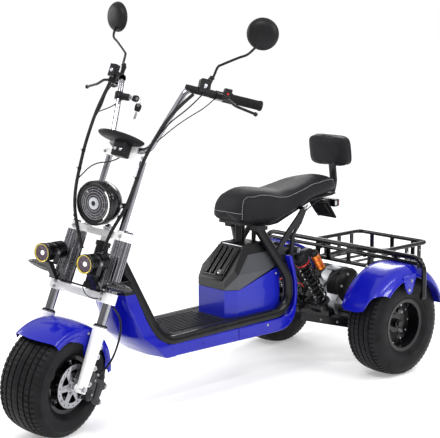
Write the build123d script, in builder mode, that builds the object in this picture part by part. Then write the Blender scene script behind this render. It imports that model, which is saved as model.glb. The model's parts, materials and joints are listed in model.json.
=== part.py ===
from build123d import *
import math
import os

os.makedirs("parts", exist_ok=True)

# ---------------------------------------------------------------- driving dimensions (mm)
FX = 803.0             # front axle, forward of the origin
FRONT_R = 191.5        # front tyre outside radius
FRONT_W = 178.0        # front tyre section width
FRONT_AXLE_Z = 192.6   # height of the front axle with the wheel turned and leaning
REAR_R = 204.0         # rear tyre outside radius
REAR_W = 154.0         # rear tyre section width
WHEELBASE = 1396.0
REAR_Y = 332.5         # rear tyre centre from the centre plane
RAKE = 22.8            # steering axis from vertical, degrees
LOCK = 14.6            # the bars as parked, turned to the left, degrees
AXIS_BACK = 40.0       # steering axis behind the front axle
LEG_Y = 117.5          # fork leg from the centre plane
LEG_U = -7.0           # fork leg ahead of the axle line
RAIL_R = 19.0          # frame rail outside radius
RAIL_Y = 125.0         # frame rail from the centre plane at the footboard
DECK_Z = 290.0         # top of the footboard
YOKE_LOW = 302.0       # lower yoke along the steering axis
YOKE_UP = 528.0        # upper yoke along the steering axis
POST_Y = 76.0          # handlebar posts from the centre plane
POST_U = -22.0
CLAMP_S = 811.0        # cross clamp along the steering axis
BAR_R = 11.0           # handlebar tube
HUMP_TOP = 556.0       # top of the battery housing
RACK_Z = 468.0         # rack hoop above the floor
BASKET_Z = 458.0       # top rail of the basket
BASKET_X = -1790.0     # rear rail of the basket
HOOP_X = -1450.0
HOOP_Y = 443.0
FENDER_R = 222.0       # inside of the rear fenders
AXLE_X = FX - WHEELBASE
AXLE_Z = REAR_R


def side(y):
    """Upright plane along the scooter at y: sketch x runs forward from the front axle, sketch y runs up."""
    return Plane(origin=(FX, y, 0), x_dir=(1, 0, 0), z_dir=(0, -1, 0))


def facing(x):
    """Upright plane across the scooter at x forward of the front axle: sketch x runs left, sketch y runs up."""
    return Plane(origin=(FX + x, 0, 0), x_dir=(0, 1, 0), z_dir=(1, 0, 0))


def level(z):
    """Level plane at height z: sketch x runs forward from the front axle, sketch y runs left."""
    return Plane(origin=(FX, 0, z), x_dir=(1, 0, 0), z_dir=(0, 0, 1))


def at(x, y, z):
    """A point given forward from the front axle, to the left, and up from the floor."""
    return (FX + x, y, z)


# steering frame: u ahead across the axis, y to the left, s up along the axis, origin at the front axle
rk, lk = math.radians(RAKE), math.radians(LOCK)
U0 = Vector(math.cos(rk), 0, math.sin(rk))
S0 = Vector(-math.sin(rk), 0, math.cos(rk))
U1 = U0 * math.cos(lk) + Vector(0, 1, 0) * math.sin(lk)
AXIS_POINT = Vector(FX, 0, FRONT_AXLE_Z) - U0 * AXIS_BACK
STEER = Plane(origin=AXIS_POINT + U1 * AXIS_BACK, x_dir=U1, z_dir=S0).location
HEAD = Plane(origin=AXIS_POINT + U0 * AXIS_BACK, x_dir=U0, z_dir=S0).location


def across(y):
    """Plane of the steering frame at y: sketch x runs ahead (u), sketch y runs up the axis (s)."""
    return Plane(origin=(0, y, 0), x_dir=(1, 0, 0), z_dir=(0, -1, 0))


def corner_radii(points, start=0.45):
    """Radii for a cable's corners: 0.45 of the shorter run over the tangent of half the turn."""
    radii = []
    for a, b, c in zip(points, points[1:], points[2:]):
        v, w = Vector(*b) - Vector(*a), Vector(*c) - Vector(*b)
        turn = math.radians(v.get_angle(w))
        radii.append(start * min(v.length, w.length) / math.tan(turn / 2))
    return radii


# ---------------------------------------------------------------- main frame
RAIL = [(-258, 46, 588), (-352, 104, 345), (-388, RAIL_Y, 270), (-1020, RAIL_Y, 280), (-1010, RAIL_Y, 420), (-910, 65, 612)]
with BuildPart() as frame_rail_left:
    with BuildLine() as path:
        FilletPolyline(*[at(x, y, z) for x, y, z in RAIL], radius=[200, 80, 80, 110])
    with BuildSketch(Plane(path.line ^ 0)):
        Circle(RAIL_R)
    sweep()

with BuildPart() as frame_rail_right:
    with BuildLine() as path:
        FilletPolyline(*[at(x, -y, z) for x, y, z in RAIL], radius=[200, 80, 80, 110])
    with BuildSketch(Plane(path.line ^ 0)):
        Circle(RAIL_R)
    sweep()
with BuildPart() as frame_rails:
    add(frame_rail_left.part)
    add(frame_rail_right.part)
frame_rails.part.label = "frame_rails"
export_step(frame_rails.part, "parts/frame_rails.step")

HEAD_LOW, HEAD_HIGH = 334.0, 500.0
with BuildPart() as head_tube:
    with BuildSketch(Plane.XY.offset(HEAD_LOW)):
        with Locations((-AXIS_BACK, 0)):
            Circle(23)
            Circle(17, mode=Mode.SUBTRACT)
    extrude(amount=HEAD_HIGH - HEAD_LOW)
    for low in (HEAD_LOW, HEAD_HIGH - 16):
        with BuildSketch(Plane.XY.offset(low)):
            with Locations((-AXIS_BACK, 0)):
                Circle(27)
                Circle(15, mode=Mode.SUBTRACT)
        extrude(amount=16)
head_tube.part = head_tube.part.moved(HEAD)

with BuildPart() as neck_gusset:
    with BuildSketch(side(0)):
        with BuildLine():
            Polyline((-200, 520), (-222, 572), (-262, 590), (-296, 545), (-352, 400), (-350, 352), (-322, 352), (-228, 470), (-200, 520))
        make_face()
    extrude(amount=34, both=True)
    with BuildSketch(side(0)):
        with BuildLine():
            Polyline((-238, 506), (-256, 560), (-284, 530), (-330, 392), (-300, 410), (-238, 506))
        make_face()
    extrude(amount=60, both=True, mode=Mode.SUBTRACT)
    with Locations(HEAD):
        with Locations((-AXIS_BACK, 0, (HEAD_LOW + HEAD_HIGH) / 2)):
            Cylinder(27.0, 240, mode=Mode.SUBTRACT)
    add(frame_rail_left.part, mode=Mode.SUBTRACT)
    add(frame_rail_right.part, mode=Mode.SUBTRACT)
    with BuildSketch(side(0)):
        with BuildLine():
            Polyline((-184, 500), (-214, 572), (-256, 572), (-238, 500), (-184, 500))
        make_face()
    extrude(amount=22, both=True)
    with Locations(HEAD):
        with Locations((-AXIS_BACK, 0, (HEAD_LOW + HEAD_HIGH) / 2)):
            Cylinder(27.0, 240, mode=Mode.SUBTRACT)
with BuildPart() as steering_head:
    add(head_tube.part)
    add(neck_gusset.part)
steering_head.part.label = "steering_head"
export_step(steering_head.part, "parts/steering_head.step")

with BuildPart() as cross_members:
    for x, z in ((-450, 256), (-700, 256), (-985, 256)):
        with BuildSketch(side(0)):
            with Locations((x, z)):
                Rectangle(34, 24)
        extrude(amount=RAIL_Y - 18, both=True)
    with BuildSketch(side(0)):
        with Locations((-1004, 452)):
            Rectangle(26, 30)
    extrude(amount=RAIL_Y - 6, both=True)
    add(frame_rail_left.part, mode=Mode.SUBTRACT)
    add(frame_rail_right.part, mode=Mode.SUBTRACT)

# ---------------------------------------------------------------- footboard
with BuildPart() as footboard:
    with BuildSketch(side(0)):
        with BuildLine():
            FilletPolyline((-372, 330), (-408, 268), (-1004, 268), (-1004, DECK_Z), (-436, DECK_Z), (-384, 344), radius=[24, 2, 2, 30])
            Line((-384, 344), (-372, 330))
        make_face()
    extrude(amount=RAIL_Y - 4, both=True)
    with BuildSketch(level(DECK_Z)):
        with Locations((-585, 0)):
            with GridLocations(0, 17, 1, 11):
                SlotOverall(240, 8)
    extrude(amount=3)
    add(frame_rail_left.part, mode=Mode.SUBTRACT)
    add(frame_rail_right.part, mode=Mode.SUBTRACT)
    add(cross_members.part, mode=Mode.SUBTRACT)
footboard.part.label = "footboard"
export_step(footboard.part, "parts/footboard.step")

# ---------------------------------------------------------------- painted panels under the rails
# height, rear edge x, front edge x, forward bulge, half width
COVER = [(502, -276, -244, 12, 84), (430, -302, -256, 22, 96), (360, -326, -280, 32, 110), (300, -356, -306, 38, 122),
         (262, -404, -348, 36, 140), (216, -434, -392, 24, 142)]
PANEL_T = 4.0
with BuildPart() as front_cover_hollow:
    for z, xr, xf, bulge, w in COVER:
        h = z + (8 if z == COVER[0][0] else 0) + (PANEL_T if z == COVER[-1][0] else 0)
        with BuildSketch(level(h)):
            with BuildLine():
                Polyline((xf - 3, w - PANEL_T), (xr - 60, w - PANEL_T), (xr - 60, PANEL_T - w), (xf - 3, PANEL_T - w))
                ThreePointArc((xf - 3, PANEL_T - w), (xf + bulge - PANEL_T, 0), (xf - 3, w - PANEL_T))
            make_face()
    loft(ruled=True)
with BuildPart() as front_cover:
    for z, xr, xf, bulge, w in COVER:
        with BuildSketch(level(z)):
            with BuildLine():
                Polyline((xf, w), (xr, w), (xr, -w), (xf, -w))
                ThreePointArc((xf, -w), (xf + bulge, 0), (xf, w))
            make_face()
    loft(ruled=True)
    add(front_cover_hollow.part, mode=Mode.SUBTRACT)
    add(frame_rail_left.part, mode=Mode.SUBTRACT)
    add(frame_rail_right.part, mode=Mode.SUBTRACT)
    add(neck_gusset.part, mode=Mode.SUBTRACT)
front_cover.part.label = "front_cover"
export_step(front_cover.part, "parts/front_cover.step")

SKIRT = [(-434, 264), (-434, 216), (-940, 211), (-985, 216), (-1022, 236), (-1043, 272), (-1052, 330), (-1052, 390), (-1020, 502), (-1004, 496),
         (-1028, 400), (-1028, 330), (-1018, 296), (-1000, 272), (-960, 264)]
with BuildPart() as skirt_left:
    with BuildSketch(side(112)):
        with BuildLine():
            Polyline(*SKIRT, close=True)
        make_face()
    extrude(amount=-30)
    add(frame_rail_left.part, mode=Mode.SUBTRACT)
    add(footboard.part, mode=Mode.SUBTRACT)
    add(cross_members.part, mode=Mode.SUBTRACT)
with BuildPart() as skirt_right:
    with BuildSketch(side(-142)):
        with BuildLine():
            Polyline(*SKIRT, close=True)
        make_face()
    extrude(amount=-30)
    add(frame_rail_right.part, mode=Mode.SUBTRACT)
    add(footboard.part, mode=Mode.SUBTRACT)
    add(cross_members.part, mode=Mode.SUBTRACT)
with BuildPart() as side_skirts:
    add(skirt_left.part)
    add(skirt_right.part)
side_skirts.part.label = "side_skirts"
export_step(side_skirts.part, "parts/side_skirts.step")

# ---------------------------------------------------------------- battery housing between the rails
with BuildPart() as battery_housing:
    with BuildSketch(level(DECK_Z + 0.2)):
        with BuildLine():
            Polyline((-727, -74), (-727, 74), (-775, 96), (-996, 96), (-996, -96), (-775, -96), (-727, -74))
        make_face()
        fillet([v for v in vertices() if v.X > FX - 730], 26)
        fillet([v for v in vertices() if FX - 776 < v.X < FX - 774], 80)
    extrude(amount=186)
    with BuildSketch(level(DECK_Z + 3.7)):
        with BuildLine():
            Polyline((-730.5, -72), (-730.5, 72), (-777, 92.5), (-992.5, 92.5), (-992.5, -92.5), (-777, -92.5), (-730.5, -72))
        make_face()
        fillet([v for v in vertices() if v.X > FX - 731], 22.5)
        fillet([v for v in vertices() if FX - 778 < v.X < FX - 776], 76.5)
    extrude(amount=200, mode=Mode.SUBTRACT)
    with BuildSketch(side(0)):
        with BuildLine():
            Polyline((-700, 396), (-785, 392), (-1030, 466), (-1030, 600), (-700, 600), (-700, 396))
        make_face()
    extrude(amount=200, both=True, mode=Mode.SUBTRACT)
    add(cross_members.part, mode=Mode.SUBTRACT)
    add(frame_rail_left.part, mode=Mode.SUBTRACT)
    add(frame_rail_right.part, mode=Mode.SUBTRACT)
battery_housing.part.label = "battery_housing"
export_step(battery_housing.part, "parts/battery_housing.step")

with BuildPart() as housing_cover_solid:
    with BuildSketch(level(380)):
        with BuildLine():
            Polyline((-727, -74), (-727, 74), (-775, 96), (-1010, 96), (-1010, -96), (-775, -96), (-727, -74))
        make_face()
        fillet([v for v in vertices() if v.X > FX - 730], 26)
        fillet([v for v in vertices() if FX - 776 < v.X < FX - 774], 80)
    extrude(amount=HUMP_TOP - 380)
    with BuildSketch(facing(-690)):
        with BuildLine():
            Polyline((96, 300), (96, 450), (62, HUMP_TOP - 4), (50, HUMP_TOP + 2), (-50, HUMP_TOP + 2), (-62, HUMP_TOP - 4), (-96, 450), (-96, 300), (96, 300))
        make_face()
    extrude(amount=-420, mode=Mode.INTERSECT)
    with BuildSketch(side(0)):
        with BuildLine():
            Polyline((-727, 396.5), (-727, 428), (-836, 552), (-930, HUMP_TOP), (-975, 520), (-1010, 471), (-785, 393.5), (-727, 396.5))
        make_face()
    extrude(amount=120, both=True, mode=Mode.INTERSECT)
with BuildPart() as housing_cover_core:
    with BuildSketch(level(370)):
        with BuildLine():
            Polyline((-730.5, -71), (-730.5, 71), (-777, 92.5), (-1006, 92.5), (-1006, -92.5), (-777, -92.5), (-730.5, -71))
        make_face()
        fillet([v for v in vertices() if v.X > FX - 731], 22.5)
        fillet([v for v in vertices() if FX - 778 < v.X < FX - 776], 76.5)
    extrude(amount=HUMP_TOP - 370)
    with BuildSketch(facing(-690)):
        with BuildLine():
            Polyline((92.5, 300), (92.5, 449), (59.5, HUMP_TOP - 7), (49, HUMP_TOP - 3), (-49, HUMP_TOP - 3), (-59.5, HUMP_TOP - 7), (-92.5, 449), (-92.5, 300), (92.5, 300))
        make_face()
    extrude(amount=-420, mode=Mode.INTERSECT)
    with BuildSketch(side(0)):
        with BuildLine():
            Polyline((-730.5, 360), (-730.5, 426), (-838, 548.5), (-929, HUMP_TOP - 3.5), (-972, 517), (-1002, 470), (-1002, 360), (-730.5, 360))
        make_face()
    extrude(amount=120, both=True, mode=Mode.INTERSECT)
LID_HINGE = (-838, 546)
with BuildPart() as battery_lid_opening:
    with BuildSketch(side(0)):
        with BuildLine():
            Polyline((-700, 430), (-760, 430), (-850, 520), (-848, 549), (-832, 580), (-700, 430))
        make_face()
    extrude(amount=56, both=True)
with BuildPart() as housing_cover:
    add(housing_cover_solid.part)
    add(housing_cover_core.part, mode=Mode.SUBTRACT)
    add(battery_lid_opening.part, mode=Mode.SUBTRACT)
    add(cross_members.part, mode=Mode.SUBTRACT)
    add(frame_rail_left.part, mode=Mode.SUBTRACT)
    add(frame_rail_right.part, mode=Mode.SUBTRACT)
housing_cover.part.label = "housing_cover"
export_step(housing_cover.part, "parts/housing_cover.step")

with BuildPart() as lid_flange:
    with BuildSketch(side(0)):
        with BuildLine():
            Polyline((-728.6, 430.3), (-826, 541.1), (-824.1, 542.8), (-726.7, 432), (-728.6, 430.3))
        make_face()
    extrude(amount=76, both=True)
    with BuildSketch(facing(-690)):
        with BuildLine():
            Polyline((63, 420), (58, 548), (-58, 548), (-63, 420), (63, 420))
        make_face()
    extrude(amount=-200, mode=Mode.INTERSECT)
with BuildPart() as battery_lid:
    with BuildSketch(side(0)):
        with BuildLine():
            Polyline((-732.6, 434), (-834.5, 550.5), (-838, 546.5), (-737, 431.5), (-732.6, 434))
        make_face()
    extrude(amount=54.5, both=True)
    add(lid_flange.part)
    for y in (-46, -23, 0, 23, 46):
        with BuildSketch(side(y)):
            with BuildLine():
                Polyline((-734, 436), (-727, 438), (-730, 446), (-812, 538), (-822, 540), (-826, 541), (-734, 436))
            make_face()
        extrude(amount=6, both=True)
    with BuildSketch(side(0)):
        with Locations(LID_HINGE):
            Circle(4)
    extrude(amount=54.5, both=True)
battery_lid.part.label = "battery_lid"
export_step(battery_lid.part, "parts/battery_lid.step")

with BuildPart() as battery:
    with Locations(at(-880, 0, DECK_Z + 4.5 + 72)):
        Box(196, 150, 144)
    chamfer(battery.edges().filter_by(Axis.Z), 6)
battery.part.label = "battery"
export_step(battery.part, "parts/battery.step")

# ---------------------------------------------------------------- seat, its supports and the backrest
with BuildPart() as seat_pillars:
    with BuildSketch(level(HUMP_TOP)):
        with Locations((-868, 0)):
            Circle(13)
        with Locations((-920, 30), (-920, -30)):
            Circle(8)
    extrude(amount=630 - HUMP_TOP)

with BuildPart() as seat_base:
    with BuildSketch(side(0)):
        with BuildLine():
            Polyline((-822, 630), (-826, 642), (-975, 624), (-1015, 628), (-1210, 692), (-1350, 704), (-1350, 698), (-1208, 684), (-1020, 616), (-975, 612), (-822, 630))
        make_face()
    extrude(amount=62, both=True)
    add(seat_pillars.part, mode=Mode.SUBTRACT)
    add(frame_rail_left.part, mode=Mode.SUBTRACT)
    add(frame_rail_right.part, mode=Mode.SUBTRACT)
    for sgn in (1, -1):
        with BuildSketch(side(sgn * 72)):
            with BuildLine():
                Polyline((-880, 604), (-880, 625), (-938, 618), (-938, 604), (-880, 604))
            make_face()
        extrude(amount=18, both=True)
    add(frame_rail_left.part, mode=Mode.SUBTRACT)
    add(frame_rail_right.part, mode=Mode.SUBTRACT)
    add(seat_pillars.part)
seat_base.part.label = "seat_base"
export_step(seat_base.part, "parts/seat_base.step")

# station x, half width, underside height, top edge height
SEAT = [(-803, 72, 647, 668), (-811, 86, 639, 704), (-826, 94, 635, 734), (-850, 100, 631, 750), (-885, 106, 627, 757), (-920, 114, 624, 758),
        (-968, 123, 624, 751), (-1030, 127, 643, 742),
        (-1110, 121, 669, 752), (-1200, 108, 695, 768), (-1300, 88, 707, 772), (-1364, 62, 712, 760)]
with BuildPart() as seat:
    for x, w, low, top in SEAT:
        with BuildSketch(facing(x)):
            with BuildLine():
                Polyline((-w, low + 14), (-w + 12, low), (w - 12, low), (w, low + 14), (w - 10, top - 12), (w - 24, top))
                ThreePointArc((w - 24, top), (0, top + 9), (24 - w, top))
                Polyline((24 - w, top), (10 - w, top - 12), (-w, low + 14))
            make_face()
    loft(ruled=True)
    add(seat_base.part, mode=Mode.SUBTRACT)
seat.part.label = "seat"
export_step(seat.part, "parts/seat.step")

with BuildPart() as seat_struts:
    for y in (112, -104):
        with BuildSketch(side(y)):
            with BuildLine():
                Polyline((-1000, 448), (-1004, 476), (-984, 498), (-968, 520), (-984, 548), (-1030, 598), (-1078, 642), (-1098, 664), (-1106, 684), (-1138, 684), (-1124, 652), (-1102, 612), (-1066, 574), (-1060, 520), (-1052, 478), (-1044, 448), (-1000, 448))
            make_face()
            with BuildLine():
                Polyline((-1058, 592), (-1016, 550), (-996, 524), (-1014, 500), (-1036, 492), (-1044, 520), (-1048, 568), (-1072, 596), (-1058, 592))
            make_face(mode=Mode.SUBTRACT)
        extrude(amount=8)
    with BuildSketch(side(0)):
        with Locations((-1120, 668)):
            Rectangle(22, 8)
    extrude(amount=104, both=True)
    add(frame_rail_left.part, mode=Mode.SUBTRACT)
    add(frame_rail_right.part, mode=Mode.SUBTRACT)
    add(cross_members.part, mode=Mode.SUBTRACT)
    add(seat.part, mode=Mode.SUBTRACT)
    add(seat_base.part, mode=Mode.SUBTRACT)
    add(skirt_left.part, mode=Mode.SUBTRACT)
    add(skirt_right.part, mode=Mode.SUBTRACT)
seat_struts.part.label = "seat_struts"
export_step(seat_struts.part, "parts/seat_struts.step")

with BuildPart() as backrest_bracket:
    with BuildSketch(side(0)):
        with BuildLine():
            FilletPolyline((-1240, 680), (-1392, 690), (-1406, 740), (-1392, 842), radius=[22, 60])
        trace(line_width=10)
    extrude(amount=16, both=True)
    add(seat.part, mode=Mode.SUBTRACT)
    add(seat_base.part, mode=Mode.SUBTRACT)
backrest_bracket.part.label = "backrest_bracket"
export_step(backrest_bracket.part, "parts/backrest_bracket.step")

with BuildPart() as backrest:
    with BuildSketch(Plane(origin=at(-1350, 0, 866), x_dir=(0, 1, 0), z_dir=(-math.cos(math.radians(8)), 0, math.sin(math.radians(8))))):
        RectangleRounded(203, 122, 28)
    extrude(amount=56)
    fillet(backrest.edges().group_by(Axis.X)[-1], 10)
    fillet(backrest.edges().group_by(Axis.X)[0], 14)
    add(backrest_bracket.part, mode=Mode.SUBTRACT)
backrest.part.label = "backrest"
export_step(backrest.part, "parts/backrest.step")

with BuildPart() as tail_light:
    with BuildSketch(facing(-1368)):
        with Locations((0, 655)):
            RectangleRounded(84, 34, 9)
    extrude(amount=-34)
    with BuildSketch(facing(-1328)):
        with Locations((0, 655)):
            RectangleRounded(40, 22, 4)
    extrude(amount=-40)
    add(seat.part, mode=Mode.SUBTRACT)
    add(backrest_bracket.part, mode=Mode.SUBTRACT)
tail_light.part.label = "tail_light"
export_step(tail_light.part, "parts/tail_light.step")

with BuildPart() as plate_bracket:
    with BuildSketch(side(0)):
        with BuildLine():
            Polyline((-1290, 672), (-1318, 672), (-1372, 598), (-1366, 594), (-1314, 664), (-1290, 664), (-1290, 672))
        make_face()
    extrude(amount=52, both=True)
    with BuildSketch(side(0)):
        with Locations((-1300, 678)):
            Rectangle(30, 26)
    extrude(amount=20, both=True)
    add(seat.part, mode=Mode.SUBTRACT)
    add(backrest_bracket.part, mode=Mode.SUBTRACT)
    add(seat_base.part, mode=Mode.SUBTRACT)
    add(tail_light.part, mode=Mode.SUBTRACT)
plate_bracket.part.label = "plate_bracket"
export_step(plate_bracket.part, "parts/plate_bracket.step")

# ---------------------------------------------------------------- rear axle, drive and suspension
with BuildPart() as rear_axle:
    with BuildSketch(side(0)):
        with Locations((-WHEELBASE, AXLE_Z)):
            Circle(24)
    extrude(amount=236, both=True)
    for sgn in (1, -1):
        with BuildSketch(side(sgn * 236)):
            with Locations((-WHEELBASE, AXLE_Z)):
                Circle(36)
        extrude(amount=-sgn * 14)
        with BuildSketch(side(sgn * 250)):
            with Locations((-WHEELBASE, AXLE_Z)):
                Circle(11.7)
        extrude(amount=-sgn * 124)
rear_axle.part.label = "rear_axle"
export_step(rear_axle.part, "parts/rear_axle.step")

with BuildPart() as drive_motor:
    with BuildSketch(side(-92)):
        with Locations((-1440, 300)):
            Circle(76)
    extrude(amount=-170)
    with BuildSketch(side(-20)):
        with BuildLine():
            Polyline((-1350, 170), (-1350, 250), (-1390, 300), (-1450, 300), (-1450, 170), (-1350, 170))
        make_face()
    extrude(amount=-84)
    add(rear_axle.part, mode=Mode.SUBTRACT)
drive_motor.part.label = "drive_motor"
export_step(drive_motor.part, "parts/drive_motor.step")

with BuildPart() as rear_subframe:
    for sgn in (1, -1):
        with BuildLine() as arm:
            FilletPolyline(at(-1000, sgn * 88, 262), at(-1110, sgn * 88, 236), at(-1300, sgn * 190, 188), at(-1384, sgn * 190, 188), radius=[60, 40])
        with BuildSketch(Plane(arm.line ^ 0)):
            Rectangle(30, 40)
        sweep(path=arm.line)
    with BuildSketch(side(0)):
        with Locations((-1110, 236)):
            Rectangle(30, 30)
    extrude(amount=88, both=True)
    with BuildSketch(side(0)):
        with Locations((-1296, 194)):
            Rectangle(34, 34)
    extrude(amount=196, both=True)
    for sgn in (1, -1):
        with BuildSketch(side(sgn * 190)):
            with Locations((-WHEELBASE, AXLE_Z)):
                Circle(34)
        extrude(amount=16, both=True)
        with BuildSketch(side(sgn * 85)):
            with BuildLine():
                Polyline((-1311, 200), (-1304, 226), (-1294, 238), (-1278, 238), (-1270, 226), (-1270, 200), (-1311, 200))
            make_face()
        extrude(amount=20, both=True)
    add(rear_axle.part, mode=Mode.SUBTRACT)
    add(drive_motor.part, mode=Mode.SUBTRACT)
    add(footboard.part, mode=Mode.SUBTRACT)
    add(cross_members.part, mode=Mode.SUBTRACT)
rear_subframe.part.label = "rear_subframe"
export_step(rear_subframe.part, "parts/rear_subframe.step")

SHOCK_TOP, SHOCK_LOW = at(-1100, 0, 500), at(-1286, 0, 226)
shock_dir = (Vector(*SHOCK_LOW) - Vector(*SHOCK_TOP)).normalized()
shock_len = (Vector(*SHOCK_LOW) - Vector(*SHOCK_TOP)).length
for name, y in (("shock_left", 85), ("shock_right", -85)):
    with BuildPart() as shock:
        with BuildSketch(Plane(origin=Vector(*SHOCK_TOP) + Vector(0, y, 0) + shock_dir * 26, z_dir=shock_dir)):
            Circle(14)
        extrude(amount=shock_len - 40)
        with BuildSketch(Plane(origin=Vector(*SHOCK_TOP) + Vector(0, y, 0) + shock_dir * 66, z_dir=shock_dir)):
            Circle(29)
        extrude(amount=shock_len - 66 - 52)
        with BuildSketch(Plane(origin=Vector(*SHOCK_TOP) + Vector(0, y, 0) + shock_dir * 20, z_dir=shock_dir)):
            Circle(25)
        extrude(amount=46)
        for point in (SHOCK_TOP, SHOCK_LOW):
            with BuildSketch(Plane(origin=Vector(*point) + Vector(0, y, 0), x_dir=(1, 0, 0), z_dir=(0, 1, 0))):
                Circle(19 if point is SHOCK_TOP else 15)
            extrude(amount=11, both=True)
        with BuildSketch(Plane(origin=at(-1173, y + (23 if y > 0 else -23), 486), z_dir=shock_dir)):
            Circle(17)
        extrude(amount=92)
        with BuildSketch(side(y - 7 if y > 0 else y - 27)):
            with BuildLine():
                Polyline((-1106, 474), (-1104, 496), (-1160, 506), (-1186, 494), (-1178, 472), (-1140, 470), (-1106, 474))
            make_face()
        extrude(amount=-34)
        add(rear_subframe.part, mode=Mode.SUBTRACT)
        add(seat_struts.part, mode=Mode.SUBTRACT)
    if y > 0:
        shock_left_part = shock.part
with BuildPart() as rear_shocks:
    add(shock_left_part)
    add(shock.part)
rear_shocks.part.label = "rear_shocks"
export_step(rear_shocks.part, "parts/rear_shocks.step")

with BuildPart() as shock_mounts:
    with BuildSketch(side(0)):
        with BuildLine():
            Polyline((-1012, 440), (-1012, 466), (-1092, 508), (-1108, 500), (-1104, 490), (-1012, 440))
        make_face()
    extrude(amount=107, both=True)
    for y in (85, -85):
        with BuildSketch(side(y)):
            with Locations((-1100, 490)):
                Rectangle(110, 110)
        extrude(amount=30, both=True, mode=Mode.SUBTRACT)
    for y in (85, -85):
        with BuildSketch(side(y)):
            with Locations((-1100, 500)):
                Circle(6)
        extrude(amount=34, both=True)
        with BuildSketch(side(y)):
            with Locations((-1100, 500)):
                Circle(19)
        extrude(amount=11, both=True, mode=Mode.SUBTRACT)
    add(cross_members.part, mode=Mode.SUBTRACT)
    add(seat_struts.part, mode=Mode.SUBTRACT)
    add(frame_rail_left.part, mode=Mode.SUBTRACT)
    add(frame_rail_right.part, mode=Mode.SUBTRACT)
    add(rear_shocks.part, mode=Mode.SUBTRACT)
with BuildPart() as frame_crossbars:
    add(cross_members.part)
    add(shock_mounts.part)
frame_crossbars.part.label = "frame_crossbars"
export_step(frame_crossbars.part, "parts/frame_crossbars.step")

# ---------------------------------------------------------------- rear fenders and rack
A0, A1 = 19.5, 168.0      # the fender's arc over the wheel, degrees up from straight ahead
for name, sgn in (("rear_fender_left", 1), ("rear_fender_right", -1)):
    with BuildPart() as fender:
        a = math.radians(A1)
        with BuildSketch(Plane(origin=(0, 0, 0), x_dir=(math.cos(a), 0, math.sin(a)), z_dir=(-math.sin(a), 0, math.cos(a)))):
            with BuildLine():
                Polyline((FENDER_R + 6, 252), (FENDER_R + 14, 252), (FENDER_R + 14, 262), (FENDER_R + 20, 290), (FENDER_R + 20, 388),
                         (FENDER_R + 8, 418), (FENDER_R - 14, 433), (FENDER_R - 24, 433), (FENDER_R - 24, 430), (FENDER_R - 15, 430),
                         (FENDER_R + 5, 415), (FENDER_R + 16, 386), (FENDER_R + 16, 291), (FENDER_R + 6, 262), (FENDER_R + 6, 252))
            make_face()
        revolve(axis=Axis.Y, revolution_arc=A1 - A0)
        with BuildSketch(Plane(origin=(0, 430, 0), x_dir=(1, 0, 0), z_dir=(0, 1, 0))):
            with BuildLine():
                Polyline((-10, -215), (62, -206), (40, -150), (26, -140), (12, -150), (-10, -215))
            make_face()
        extrude(amount=3)
    if sgn < 0:
        fender.part = fender.part.mirror(Plane.XZ)
    fender.part = fender.part.moved(Location((AXLE_X, 0, AXLE_Z)))
    if sgn > 0:
        fender_left_part = fender.part
    fender.part.label = name
    export_step(fender.part, f"parts/{name}.step")

with BuildPart() as rack_hoop:
    for drop, r, foot in ((0, 10, 318), (24, 8, 430)):
        y = HOOP_Y - drop
        with BuildLine() as path:
            FilletPolyline(at(HOOP_X, y, foot), at(HOOP_X, y, RACK_Z + 2 - drop), at(HOOP_X, -y, RACK_Z + 2 - drop), at(HOOP_X, -y, foot),
                           radius=[54 - drop * 1.8, 54 - drop * 1.8])
        with BuildSketch(Plane(path.line ^ 0)):
            Circle(r)
        sweep(path=path.line)
    for y in (-300, -100, 100, 300):
        with BuildSketch(level(RACK_Z - 22)):
            with Locations((HOOP_X, y)):
                Rectangle(6, 18)
        extrude(amount=24)
    for sgn in (1, -1):
        with BuildSketch(side(sgn * 433)):
            with Locations((HOOP_X, 322)):
                RectangleRounded(24, 26, 5)
        extrude(amount=-sgn * 14)
    add(fender_left_part, mode=Mode.SUBTRACT)
    add(fender.part, mode=Mode.SUBTRACT)
with BuildPart() as rack_basket:
    for z, grow in ((BASKET_Z, 0), (BASKET_Z - 78, -8)):
        with BuildLine() as ring:
            FilletPolyline(at(BASKET_X - grow, -190 - grow, z), at(BASKET_X - grow, 190 + grow, z), at(-1505 + grow, 190 + grow, z), at(-1505 + grow, -190 - grow, z), radius=28, close=True)
        with BuildSketch(Plane(ring.line ^ 0)):
            Circle(9)
        sweep(path=ring.line)
    for x in (-1570, -1655, -1738):
        for y in (190, -190):
            with BuildSketch(level(BASKET_Z - 78)):
                with Locations((x, y)):
                    Rectangle(18, 7)
            extrude(amount=78)
    for y in (-115, 0, 115):
        for x in (-1505, BASKET_X):
            with BuildSketch(level(BASKET_Z - 78)):
                with Locations((x, y)):
                    Rectangle(7, 18)
            extrude(amount=78)
    for y in (-140, -70, 0, 70, 140):
        with BuildSketch(facing(-1505)):
            with Locations((y, BASKET_Z - 78)):
                Rectangle(18, 6)
        extrude(amount=BASKET_X + 1505)
    for y in (-110, 110):
        with BuildSketch(facing(-1446)):
            with Locations((y, RACK_Z - 4)):
                Rectangle(18, 6)
        extrude(amount=-56)
    add(rack_hoop.part, mode=Mode.SUBTRACT)
rack_basket.part.label = "rack_basket"
export_step(rack_basket.part, "parts/rack_basket.step")
rack_hoop.part.label = "rack_hoop"
export_step(rack_hoop.part, "parts/rack_hoop.step")

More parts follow.
